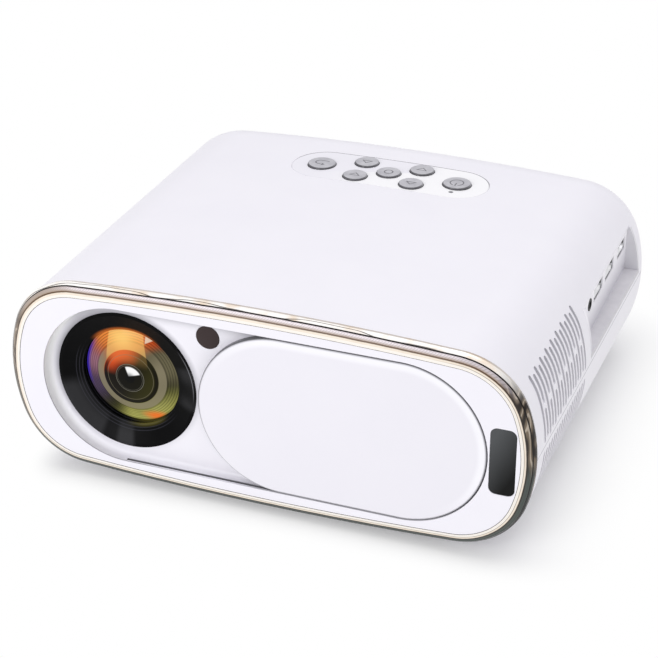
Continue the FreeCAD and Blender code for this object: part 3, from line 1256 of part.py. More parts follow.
# ================================================================ frame, speakers, feet and screws
def mid_frame():
    """Plate over the drive that carries light engine, exhaust fan and supply board."""
    plate = box(FRAME_X0, FRAME_X1, FRAME_Y0, FRAME_Y1, FRAME_Z0, FRAME_Z1)
    half = REAR_FAN / 2
    pads = [box(x, x + FAN_FOOT_W, REAR_FAN_Y, REAR_FAN_Y + FAN_T, FRAME_Z1, -half)
            for x in (REAR_FAN_X - half, REAR_FAN_X + half - FAN_FOOT_W)]
    holes = [rod(SCREW_SHANK_R + FIT, (x, y, FRAME_Z0 - 1), (0, 0, 1), FRAME_T + 2) for x, y in POST_SPOTS]
    return joined([plate] + pads).cut(holes)


def speaker(x):
    """Round loudspeaker that faces down: rim, basket and magnet."""
    z = SPEAKER_SEAT_Z
    r = SPEAKER_R
    rim, magnet = r - SPEAKER_RIM_W, r * MAGNET_R
    rim_z, top = z + SPEAKER_RIM_T, z + SPEAKER_H
    profile = [(rim, z), (r, z), (r, rim_z), (r - 2.0, rim_z), (magnet, z + BASKET_H), (magnet, top),
               (0, top), (0, z + 3.4), (r * 0.35, z + 2.6), (rim, z + 0.8)]
    return turned(profile, (x, SPEAKER_Y, 0), (0, 0, 1))


def grille_holes(x):
    """Round holes under one speaker, in rings."""
    spots = [(0.0, 0.0)]
    for ring in range(1, GRILLE_RINGS + 1):
        for step in range(6 * ring):
            angle = 2 * math.pi * step / (6 * ring)
            spots.append((GRILLE_PITCH * ring * math.cos(angle), GRILLE_PITCH * ring * math.sin(angle)))
    return [rod(GRILLE_HOLE_R, (x + dx, SPEAKER_Y + dy, -HALF_H - 1), (0, 0, 1), 8) for dx, dy in spots]


FOOT_SPOTS = [(side * FOOT_X, y) for side in (-1, 1) for y in FOOT_Y]
POST_SPOTS = [(x, y) for x in POST_X for y in POST_Y]
BOARD_SPOTS = [(x, y) for x in (MAIN_BOARD_X0 + 6, BOARD_PILLAR_X)
               for y in (MAIN_BOARD_Y0 + 5, MAIN_BOARD_Y1 - 5)]
KEY_BOARD_SPOTS = [(x, y) for x in (PANEL_X0 + KEY_PILLAR_END, PANEL_X1 - KEY_PILLAR_END)
                   for y in (PANEL_Y - KEY_PILLAR_DY, PANEL_Y + KEY_PILLAR_DY)]


def feet():
    """Four rubber feet, each with a peg in the case."""
    base_z = -MID_Z
    pieces = []
    for x, y in FOOT_SPOTS:
        pad = rod(FOOT_R, (x, y, base_z), (0, 0, 1), FOOT_PAD_Z - base_z)
        pad = pad.makeFillet(FOOT_EDGE, edges_at(pad, lambda b: b.ZMax < base_z + 0.01))
        pieces.append(joined([pad, rod(FOOT_PEG_R, (x, y, FOOT_PAD_Z), (0, 0, 1), FOOT_PEG_H)]))
    return Part.makeCompound(pieces)


def tripod_insert():
    z0 = -HALF_H + TRIPOD_SINK
    body = rod(TRIPOD_BODY_R, (0, TRIPOD_Y, z0), (0, 0, 1), TRIPOD_BODY_H)
    return body.cut(rod(TRIPOD_R, (0, TRIPOD_Y, z0), (0, 0, 1), TRIPOD_DEPTH))


def screws():
    """Case screws from below and frame screws from above."""
    r = SCREW_SHANK_R
    pieces = []
    for x, y in BOSS_SPOTS:
        head = rod(SCREW_HEAD_R, (x, y, WELL_TOP_Z - SCREW_HEAD_T), (0, 0, 1), SCREW_HEAD_T)
        pieces.append(joined([head, rod(r, (x, y, WELL_TOP_Z), (0, 0, 1), SCREW_IN - WELL_TOP_Z)]))
    for x, y in POST_SPOTS:
        head = rod(SCREW_HEAD_R, (x, y, FRAME_Z1), (0, 0, 1), POST_HEAD_T)
        pieces.append(joined([head, rod(r, (x, y, FRAME_Z1 - FRAME_SCREW_LEN), (0, 0, 1), FRAME_SCREW_LEN)]))
    return Part.makeCompound(pieces)


# ================================================================ shells
def upright_slot(side, y0, y1, z0, z1):
    """Round-ended slot through one side wall, from inside the widest line to outside it."""
    x0 = side * (FACE_HALF_W - VENT_REACH_IN)
    r = (y1 - y0) / 2
    wire = oval_wire(z0, z1, r, lambda u, v: V(x0, y0 + r + v, u))
    return Part.Face(wire).extrude(V(side * (VENT_REACH_IN + VENT_REACH_OUT), 0, 0))


def vent_row(side, upper):
    """Upright slots in one side, above or below the seam; every second upper slot has a bridge."""
    cuts = []
    for number in range(VENT_COUNT):
        y0 = VENT_FIRST_Y + VENT_PITCH * number - VENT_W / 2
        if not upper:
            spans = [(LOWER_VENT_FOOT_Z, LOWER_VENT_TOP_Z)]
        elif number % 2 == 0:
            spans = [(VENT_FOOT_Z, VENT_TOP_Z)]
        else:
            spans = [(VENT_FOOT_SHORT_Z, VENT_BRIDGE_Z - VENT_BRIDGE_T / 2),
                     (VENT_BRIDGE_Z + VENT_BRIDGE_T / 2, VENT_TOP_SHORT_Z)]
        cuts += [upright_slot(side, y0, y0 + VENT_W, z0, z1) for z0, z1 in spans]
    return cuts


def lip_form(z0, z1, grow):
    """Band on the inner half of the wall, across the seam."""
    ring = body_form(WALL - LIP_T - grow, TRIM_DEPTH + 4.0).cut(CAVITY)
    return ring.common(box(-BIG, BIG, -1, BIG, z0, z1))


def top_shell():
    """Upper shell: key panel seat, pillars for boards, case bosses, vents and the bay's opening."""
    half = box(-BIG, BIG, 0, BIG, SEAM_Z, BIG)
    shell = CASE.common(half)
    over_roof = HALF_H + 1
    pad = oval_z(PANEL_X0 - PAD_OUT, PANEL_X1 + PAD_OUT, PANEL_HALF_W + PAD_OUT,
                 PAD_UNDER_Z, over_roof, PANEL_Y)
    pillars = [rod(KEY_PILLAR_R, (x, y, KEY_BOARD_Z + KEY_BOARD_T), (0, 0, 1), HALF_H)
               for x, y in KEY_BOARD_SPOTS]
    pillars += [rod(BOARD_PILLAR_R, (x, y, BOARD_Z1), (0, 0, 1), HALF_H) for x, y in BOARD_SPOTS]
    pillars += [rod(BOSS_R, (x, y, SEAM_Z), (0, 0, 1), HALF_H) for x, y in BOSS_SPOTS]
    shell = joined([shell] + [piece.common(OUTER) for piece in [pad] + pillars])
    cuts = [oval_z(PANEL_X0 - FIT, PANEL_X1 + FIT, PANEL_HALF_W + FIT, PANEL_UNDER_Z, over_roof, PANEL_Y)]
    cuts += [rod(SCREW_HOLE_R, (x, y, SEAM_Z - 1), (0, 0, 1), SCREW_IN + 3) for x, y in BOSS_SPOTS]
    cuts += [bay_opening(), rear_block(0.0, REAR_INNER_Y - 5, BODY_DEPTH + 1)]
    cuts += key_holes() + vent_row(1, True) + vent_row(-1, True)
    return shell.cut(cuts).cut(lip_form(SEAM_Z - 1, SEAM_Z + LIP_H + FIT, FIT))


def bottom_shell():
    """Lower shell: speaker seats, posts, screw wells, foot pads, fan cradle and the tray's opening."""
    half = box(-BIG, BIG, 0, BIG, -BIG, SEAM_Z)
    shell = CASE.common(half)
    inside = [rod(POST_R, (x, y, -HALF_H), (0, 0, 1), FRAME_Z0 + HALF_H) for x, y in POST_SPOTS]
    inside += [rod(WELL_R + WELL_WALL, (x, y, -HALF_H), (0, 0, 1), SEAM_Z + HALF_H) for x, y in BOSS_SPOTS]
    inside += [tube(SPEAKER_R + SEAT_WALL, SPEAKER_R - SEAT_IN, (x, SPEAKER_Y, -HALF_H), (0, 0, 1),
                    SPEAKER_SEAT_Z + HALF_H) for x in SPEAKER_X]
    insert_top = TRIPOD_BODY_H + TRIPOD_SINK
    inside.append(rod(TRIPOD_BODY_R + TRIPOD_BOSS_WALL, (0, TRIPOD_Y, -HALF_H), (0, 0, 1), insert_top + 1.4))
    inside += [box(SIDE_FAN_X - FAN_T, SIDE_FAN_X, y - CRADLE_W / 2, y + CRADLE_W / 2,
                   -HALF_H, -SIDE_FAN / 2) for y in (SIDE_FAN_Y - CRADLE_DY, SIDE_FAN_Y + CRADLE_DY)]
    pads = [rod(FOOT_PAD_R, (x, y, FOOT_PAD_Z), (0, 0, 1), 3.0) for x, y in FOOT_SPOTS]
    shell = joined([shell] + [piece.common(OUTER) for piece in inside] + pads)
    cuts = [rod(WELL_R, (x, y, -HALF_H - 1), (0, 0, 1), WELL_TOP_Z + HALF_H + 1) for x, y in BOSS_SPOTS]
    cuts += [rod(SCREW_SHANK_R + FIT, (x, y, WELL_TOP_Z - 1), (0, 0, 1), 30) for x, y in BOSS_SPOTS]
    cuts += [rod(SCREW_HOLE_R, (x, y, FRAME_Z0 - 10), (0, 0, 1), 20) for x, y in POST_SPOTS]
    cuts += [rod(FOOT_PEG_R, (x, y, FOOT_PAD_Z - 1), (0, 0, 1), FOOT_PEG_H + 1) for x, y in FOOT_SPOTS]
    cuts.append(rod(TRIPOD_BODY_R, (0, TRIPOD_Y, -HALF_H - 1), (0, 0, 1), insert_top + 1))
    cuts += [drive_opening(), rear_block(0.0, REAR_INNER_Y - 5, BODY_DEPTH + 1)]
    cuts += vent_row(1, False) + vent_row(-1, False)
    for x in SPEAKER_X:
        cuts += grille_holes(x)
    lip = lip_form(SEAM_Z - 1, SEAM_Z + LIP_H, 0.0).cut(
        [bay_opening(), rear_block(REAR_FLANGE + FIT, REAR_INNER_Y - 5, BODY_DEPTH + 1)]
        + [rod(BOSS_R + FIT, (x, y, SEAM_Z), (0, 0, 1), 9) for x, y in BOSS_SPOTS])
    return joined([shell.cut(cuts), lip])


# ================================================================ the pieces
side_fan_frame, side_fan_rotor = placed_fan(SIDE_FAN, "x", (SIDE_FAN_X - FAN_T, SIDE_FAN_Y, 0))
rear_fan_frame, rear_fan_rotor = placed_fan(REAR_FAN, "y", (REAR_FAN_X, REAR_FAN_Y, 0))

PIECES = {
    "top_shell": top_shell(),
    "bottom_shell": bottom_shell(),
    "front_panel": front_panel(),
    "trim_ring": trim_ring(),
    "lens_cover": lens_cover(),
    "ir_window": ir_window(),
    "sensor_lens": sensor_lens(),
    "lens_hood": lens_hood(),
    "front_lens": lens_element(*LENS_SEATS["front_lens"]),
    "inner_lenses": Part.makeCompound([lens_element(*LENS_SEATS[n]) for n in ("middle_lens", "rear_lens")]),
    "lens_barrel": lens_barrel(),
    "lens_mount": lens_mount(),
    "focus_motor": focus_motor(),
    "focus_screw": focus_screw(),
    "engine_housing": engine_housing(),
    "engine_cover": engine_cover(),
    "fresnel_lenses": fresnel_lenses(),
    "lcd_panel": lcd_panel(),
    "heat_glass": optical_plate(HEAT_GLASS_Y, HEAT_GLASS_T),
    "condenser_lens": condenser_lens(),
    "led_board": led_board(),
    "heatsink": heatsink(),
    "side_fan_frame": side_fan_frame,
    "side_fan_rotor": side_fan_rotor,
    "rear_fan_frame": rear_fan_frame,
    "rear_fan_rotor": rear_fan_rotor,
    "main_board": main_board(),
    "hdmi_sockets": Part.makeCompound([hdmi_socket(y) for y in HDMI_Y]),
    "usb_socket": usb_socket(),
    "audio_socket": audio_socket(),
    "power_board": power_board(),
    "control_panel": control_panel(),
    "key_board": key_board(),
    "status_light": status_light(),
    "port_bay": port_bay(),
    "rear_panel": rear_panel(),
    "mains_inlet": mains_inlet(),
    "drive_chassis": drive_chassis(),
    "drive_lid": drive_lid(),
    "drive_rails": drive_rails(),
    "disc_tray": disc_tray(),
    "tray_bezel": tray_bezel(),
    "eject_button": eject_button(),
    "tray_motors": Part.makeCompound([spindle_motor(), feed_motor()]),
    "spindle_hub": spindle_hub(),
    "sled_rods": sled_rods(),
    "feed_screw": feed_screw(),
    "laser_sled": laser_sled(),
    "mid_frame": mid_frame(),
    "speakers": Part.makeCompound([speaker(x) for x in SPEAKER_X]),
    "rubber_feet": feet(),
    "tripod_insert": tripod_insert(),
    "screws": screws(),
}
PIECES.update({name: key(*place) for name, place in KEYS.items()})

os.makedirs("parts", exist_ok=True)
for name, shape in PIECES.items():
    store(name, shape)
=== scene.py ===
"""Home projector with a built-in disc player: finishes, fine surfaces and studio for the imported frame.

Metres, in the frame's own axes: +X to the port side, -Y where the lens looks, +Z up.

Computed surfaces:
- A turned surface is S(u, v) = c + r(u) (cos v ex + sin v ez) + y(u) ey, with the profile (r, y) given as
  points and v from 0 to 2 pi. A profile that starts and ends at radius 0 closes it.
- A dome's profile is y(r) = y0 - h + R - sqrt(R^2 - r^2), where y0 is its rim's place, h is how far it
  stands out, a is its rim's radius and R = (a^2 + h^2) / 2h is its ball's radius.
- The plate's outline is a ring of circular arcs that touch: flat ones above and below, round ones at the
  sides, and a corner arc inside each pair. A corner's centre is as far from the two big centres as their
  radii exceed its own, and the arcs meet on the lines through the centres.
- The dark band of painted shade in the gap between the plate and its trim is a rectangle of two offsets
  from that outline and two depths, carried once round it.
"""

import json
import math

import bmesh
import bpy
import numpy as np
from mathutils import Euler, Matrix, Vector


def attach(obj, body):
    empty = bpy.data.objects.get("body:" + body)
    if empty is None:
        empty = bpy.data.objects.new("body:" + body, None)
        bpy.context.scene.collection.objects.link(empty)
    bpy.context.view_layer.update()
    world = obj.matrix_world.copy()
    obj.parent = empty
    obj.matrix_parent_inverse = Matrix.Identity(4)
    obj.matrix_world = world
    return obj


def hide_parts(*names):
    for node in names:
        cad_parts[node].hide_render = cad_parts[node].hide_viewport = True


MM = 0.001
FACE_Y = -98.85 * MM            # plane of the front plate
MID_Z = 46.7 * MM               # height of the seam and of the lens
FACE_HALF_W = 106.9             # the plate's outline, in millimetres
FACE_HALF_H = 39.5
FACE_TOP_R = 1390.0
FACE_SIDE_R = 61.2
FACE_CORNER_R = 26.0
GAP_SHADE_IN = -0.12                 # the painted gap shade's offsets from that outline, in millimetres
GAP_SHADE_OUT = 0.24
GAP_SHADE_FRONT = -0.03 * MM         # the painted gap shade's depths behind the plate's plane
GAP_SHADE_BACK = 0.10 * MM

LENS_X = -60.6 * MM
LENS_R = 21.6 * MM
LENS_SAG = 4.5 * MM             # how far the front lens's dome stands before its rim
LENS_RIM = 1.1 * MM             # flat rim outside the dome
LENS_FRONT_Y = FACE_Y + 12.1 * MM
LENS_T = 3.0 * MM
LENS_UNIT = 1.045 * MM          # unit of length in the front lens's look
HOOD_R = 31.1 * MM
LAMP_CHIP_Y = FACE_Y + 137.0 * MM
LAMP_CHIP_HALF = 4.5 * MM

RECESS_R = 35.45 * MM           # long oval recess: its half height
RECESS_END_X = 58.5 * MM        # far end of the recess's middle line
COVER_X = 33.5 * MM             # sliding cover: its centre, half the flat length and half its height
COVER_MID = 25.0 * MM
COVER_R = 35.15 * MM
WINDOW_X = 99.7 * MM
SENSOR_X = -23.5 * MM

BAY_WALL_X = 107.0 * MM
BAY_END_Y = FACE_Y + 170.5 * MM
PORT_Z = MID_Z + 18.7 * MM
VIDEO_Y = (FACE_Y + 117.0 * MM, FACE_Y + 137.3 * MM)
USB_Y = FACE_Y + 159.5 * MM

PANEL_X = 1.4 * MM
PANEL_Y = FACE_Y + 150.0 * MM
PANEL_R = 15.3 * MM
PANEL_END = 31.0 * MM
KEY_X = 1.1 * MM                # centre key; the arrows stand round it
KEY_ROW_Y = FACE_Y + 149.7 * MM
KEY_MARK_Z = 87.3 * MM          # the keys' marks show above this height
KEY_R = 5.54 * MM
ARROW_DX = 13.24 * MM
ARROW_DY = 8.04 * MM
POWER_X = 33.3 * MM
BACK_X = -31.1 * MM
END_KEY_R = 6.42 * MM
MARK_HALF_W = 0.26 * MM         # half the width of the marks' lines
ARROW_HALF_W = 2.2 * MM
ARROW_H = 2.5 * MM
RING_MARK_R = 1.9 * MM
POWER_MARK_R = 3.0 * MM
BACK_MARK_R = 2.0 * MM

BOARD_FACES_Z = (               # lower and upper height of each board's bare faces, and their softness
    (61.9 * MM, 62.6 * MM, 0.02 * MM),
    (79.6 * MM, 80.0 * MM, 0.02 * MM),
    (24.0 * MM, 26.5 * MM, 0.02 * MM),
    (60.6 * MM, 61.0 * MM, 0.05 * MM),
)
SPEAKER_X = 58.0 * MM
SPEAKER_Y = FACE_Y + 36.0 * MM

FLOOR_HALF = 4.0
FLOOR_DROP = 0.2 * MM           # the floor lies this far under the feet
FADE_RIGHT = (86 * MM, 58 * MM)         # where the floor starts to fade to white, and over what length
FADE_LEFT = (90 * MM, 20 * MM)
FADE_FRONT = (85 * MM, 28 * MM)
FADE_REAR = (94 * MM, 46 * MM)
LAMP_AIM = Vector((0.0, 0.0, 0.05))
SKY_STRENGTH = 0.55
CAMERA_PLACE = Vector((0.24794, -0.66358, 0.41921))
CAMERA_ANGLES = (61.52115, 0.20819, 21.00791)       # degrees about x, y and z
FOCAL_MM = 99.709
SENSOR_MM = 36.0
TURN = 2 * math.pi

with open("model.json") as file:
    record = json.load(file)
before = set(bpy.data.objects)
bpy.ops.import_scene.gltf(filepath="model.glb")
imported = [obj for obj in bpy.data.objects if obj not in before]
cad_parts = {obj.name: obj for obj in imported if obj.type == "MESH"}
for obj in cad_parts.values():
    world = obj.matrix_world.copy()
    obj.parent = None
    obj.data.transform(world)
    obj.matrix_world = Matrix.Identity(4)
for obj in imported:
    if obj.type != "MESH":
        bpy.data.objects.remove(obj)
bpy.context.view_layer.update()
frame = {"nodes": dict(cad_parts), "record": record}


# ---------------------------------------------------------------- shader maths
def tint(r, g, b):
    """Linear colour of a display colour given as 0 to 255."""
    def linear(c):
        c /= 255
        return c / 12.92 if c <= 0.04045 else ((c + 0.055) / 1.055) ** 2.4
    return (linear(r), linear(g), linear(b), 1.0)


class Val:
    """A socket in a node tree. Python's operators on it add Math nodes."""

    def __init__(self, look, socket):
        self.look, self.socket = look, socket

    def math(self, operation, *others, flip=False, clamp=False):
        """One Math node on this value and the others."""
        values = [self, *others]
        if flip:
            values.reverse()
        inputs = dict(enumerate(values))
        node = self.look.node("ShaderNodeMath", inputs, operation=operation, use_clamp=clamp)
        return Val(self.look, node.outputs[0])

    def __add__(self, other):
        return self.math("ADD", other)

    def __sub__(self, other):
        return self.math("SUBTRACT", other)

    def __rsub__(self, other):
        return self.math("SUBTRACT", other, flip=True)

    def __mul__(self, other):
        return self.math("MULTIPLY", other)

    def __truediv__(self, other):
        return self.math("DIVIDE", other)

    def __neg__(self):
        return self * -1.0

    def __abs__(self):
        return self.math("ABSOLUTE")

    __radd__ = __add__
    __rmul__ = __mul__

    def root(self):
        return self.math("SQRT")

    def least(self, other):
        return self.math("MINIMUM", other)

    def most(self, other):
        return self.math("MAXIMUM", other)

    def wave(self, length):
        """Sine from -1 to 1 that repeats after this length."""
        return (self * (TURN / length)).math("SINE")

    def held(self):
        """Kept between 0 and 1."""
        return self.math("ADD", 0.0, clamp=True)

    def ramp(self, low, high):
        """0 at low, 1 at high, smooth between; low may be the larger."""
        node = self.look.node("ShaderNodeMapRange", {"Value": self, "From Min": low, "From Max": high},
                              interpolation_type="SMOOTHSTEP")
        return Val(self.look, node.outputs[0])

    def within(self, low, high, soft):
        """1 between low and high, falling to 0 over soft."""
        return self.ramp(low - soft, low + soft) * self.ramp(high + soft, high - soft)


def either(first, *others):
    """The largest of several values."""
    for other in others:
        first = first.most(other)
    return first


class Look:
    """One procedural material: a Principled shader and whatever feeds it."""

    def __init__(self, name, **fixed):
        self.material = bpy.data.materials.new(name)
        self.material.use_nodes = True
        self.tree = self.material.node_tree
        self.bsdf = self.tree.nodes["Principled BSDF"]
        self.coords = self.tree.nodes.new("ShaderNodeTexCoord").outputs["Object"]
        for key, value in fixed.items():
            self.set(key.replace("_", " "), value)

    def node(self, kind, inputs=None, **settings):
        """A node of any kind, with its settings and its input values or links."""
        node = self.tree.nodes.new(kind)
        for key, value in settings.items():
            setattr(node, key, value)
        for key, value in (inputs or {}).items():
            self.feed(node.inputs[key], value)
        return node

    def feed(self, slot, value):
        """A link from a value or socket, or a constant, into an input."""
        if isinstance(value, Val):
            value = value.socket
        if isinstance(value, bpy.types.NodeSocket):
            self.tree.links.new(value, slot)
        else:
            slot.default_value = value

    def set(self, name, value):
        self.feed(self.bsdf.inputs[name], value)
        return self

    def place(self, at=(0.0, 0.0, 0.0)):
        """x, y and z from a point, in metres."""
        split = self.node("ShaderNodeSeparateXYZ", {0: self.coords})
        return [Val(self, s) - a if a else Val(self, s) for s, a in zip(split.outputs, at)]

    def noise(self, size, detail=2.0, stretch=(1.0, 1.0, 1.0)):
        """Soft noise from 0 to 1 with features of that size in metres."""
        scale = [s / size for s in stretch]
        grid = self.node("ShaderNodeMapping", {"Vector": self.coords, "Scale": scale}).outputs[0]
        node = self.node("ShaderNodeTexNoise", {"Vector": grid, "Scale": 1.0, "Detail": detail})
        return Val(self, node.outputs[0])

    def mix(self, a, b, factor):
        """Colour a where the factor is 0, b where it is 1."""
        node = self.node("ShaderNodeMixRGB", {"Color1": a, "Color2": b, "Fac": factor})
        return Val(self, node.outputs[0])

    def bump(self, height, distance):
        """Relief of that depth in metres; gives the look back."""
        node = self.node("ShaderNodeBump", {"Height": height, "Distance": distance, "Strength": 1.0})
        return self.set("Normal", node.outputs[0])

    def base(self):
        """What feeds the base colour so far."""
        return self.bsdf.inputs["Base Color"].links[0].from_socket


# ---------------------------------------------------------------- finishes
def moulding(name, colour, shade, rough=0.42, grain=0.22 * MM, depth=0.012 * MM, seam=False):
    """Moulded plastic: faint cloudiness, a fine spark-eroded grain and, on the case, the seam's shadow."""
    look = Look(name, Specular_IOR_Level=0.4)
    cloud = look.noise(28 * MM, 3)
    colour = look.mix(tint(*colour), tint(*shade), cloud.ramp(0.25, 0.8) * 0.35)
    fine = look.noise(grain, 2)
    if seam:
        _, _, z = look.place((0, 0, MID_Z))
        line = abs(z).ramp(0.32 * MM, 0.10 * MM)
        colour = look.mix(colour, tint(150, 148, 156), line * 0.75)
    look.set("Base Color", colour)
    look.set("Roughness", rough + (cloud - 0.5) * 0.08 + (fine - 0.5) * 0.06)
    return look.bump(fine, depth)


def oval(x, side, left, right):
    """Distance from a middle line along x, and its part along x: beyond the line's ends or 0."""
    across = x - x.most(left).least(right)
    return (across * across + side * side).root(), across


def front_plate():
    """White front plate: painted light in the recess's rounded corner, a grey line of painted shade along
    its edge at the left, and painted shade under its top and round the lens hood. The cover's groove in the
    recess's wall is painted dark as shade."""
    look = moulding("face_white", (240, 238, 245), (234, 232, 240), rough=0.36, depth=0.006 * MM)
    x, depth, z = look.place((0, FACE_Y, MID_Z))
    r, across = oval(x, z, LENS_X, RECESS_END_X)
    lit = (z / (2.2 * RECESS_R) - across / (1.6 * RECESS_R) + 0.45).held()
    corner = r.ramp(RECESS_R - 2.6 * MM, RECESS_R - 0.2 * MM) * depth.ramp(0.1 * MM, 0.7 * MM)
    colour = look.mix(look.base(), tint(255, 255, 255), corner * lit * x.ramp(30 * MM, 0.0))
    # painted shade: a grey line along the recess's edge at the left
    brink = r.ramp(RECESS_R - 0.5 * MM, RECESS_R - 0.2 * MM)
    brink = brink * depth.within(0.05 * MM, 0.45 * MM, 0.06 * MM)
    colour = look.mix(colour, tint(140, 139, 146), brink * x.ramp(-20 * MM, -60 * MM) * 0.8)
    # painted shade: the cover's groove in the recess's wall is darkened
    groove = r.ramp(RECESS_R + 0.02 * MM, RECESS_R + 0.15 * MM) * depth.ramp(0.7 * MM, 1.0 * MM)
    colour = look.mix(colour, tint(128, 127, 132), groove)
    under = r.ramp(RECESS_R - 7 * MM, RECESS_R) * depth.ramp(4.6 * MM, 5.0 * MM)
    colour = look.mix(colour, tint(176, 175, 182), under * (z / r).ramp(0.5, 0.95))
    hood = ((x - LENS_X) * (x - LENS_X) + z * z).root()
    colour = look.mix(colour, tint(150, 149, 157), hood.ramp(HOOD_R + 3.0 * MM, HOOD_R) * lit * 0.9)
    return look.set("Base Color", colour)


def cover_plate():
    """White sliding cover: its rounded edge carries a painted highlight above and at the right, painted
    shade all round, and darker painted shade at its foot."""
    look = moulding("cover_white", (234, 232, 239), (229, 227, 235), rough=0.34, depth=0.006 * MM)
    x, _, z = look.place((COVER_X, FACE_Y, MID_Z))
    r, across = oval(x, z, -COVER_MID, COVER_MID)
    # painted highlight on the rounded edge above and at the right
    rim = r.ramp(COVER_R - 4.6 * MM, COVER_R - 2.2 * MM)
    upper = (z / COVER_R + across / COVER_R + 0.4).held()
    colour = look.mix(look.base(), tint(246, 245, 250), rim * upper * 0.8)
    # painted shade all round the rounded edge
    turn = r.ramp(COVER_R - 1.1 * MM, COVER_R - 0.5 * MM)
    colour = look.mix(colour, tint(182, 181, 187), turn * 0.8)
    # darker painted shade at the edge's foot
    foot = r.ramp(COVER_R - 0.62 * MM, COVER_R - 0.25 * MM)
    return look.set("Base Color", look.mix(colour, tint(104, 103, 108), foot))


def port_tub():
    """Grey tub of the port bay: painted shade darkens its wall downwards and at its rear end, and its floor
    is rough, blotchy and in painted shade."""
    look = moulding("bay_grey", (252, 250, 255), (246, 244, 250), rough=0.55, grain=0.5 * MM,
                    depth=0.04 * MM)
    x, y, z = look.place((BAY_WALL_X, BAY_END_Y, PORT_Z))
    # painted shade: the wall darkens downwards and at its rear end
    colour = look.mix(look.base(), tint(218, 216, 223), z.ramp(4.0 * MM, -14.0 * MM))
    colour = look.mix(colour, tint(226, 225, 229), y.ramp(-1.0 * MM, -0.1 * MM))
    # painted shade over the floor's blotches
    floor = z.ramp(-14.6 * MM, -15.0 * MM) * x.ramp(0.05 * MM, 0.3 * MM)
    blotch = look.noise(5 * MM, 3)
    blotchy_shaded_floor = look.mix(tint(220, 218, 222), tint(202, 200, 205), blotch)
    return look.set("Base Color", look.mix(colour, blotchy_shaded_floor, floor))


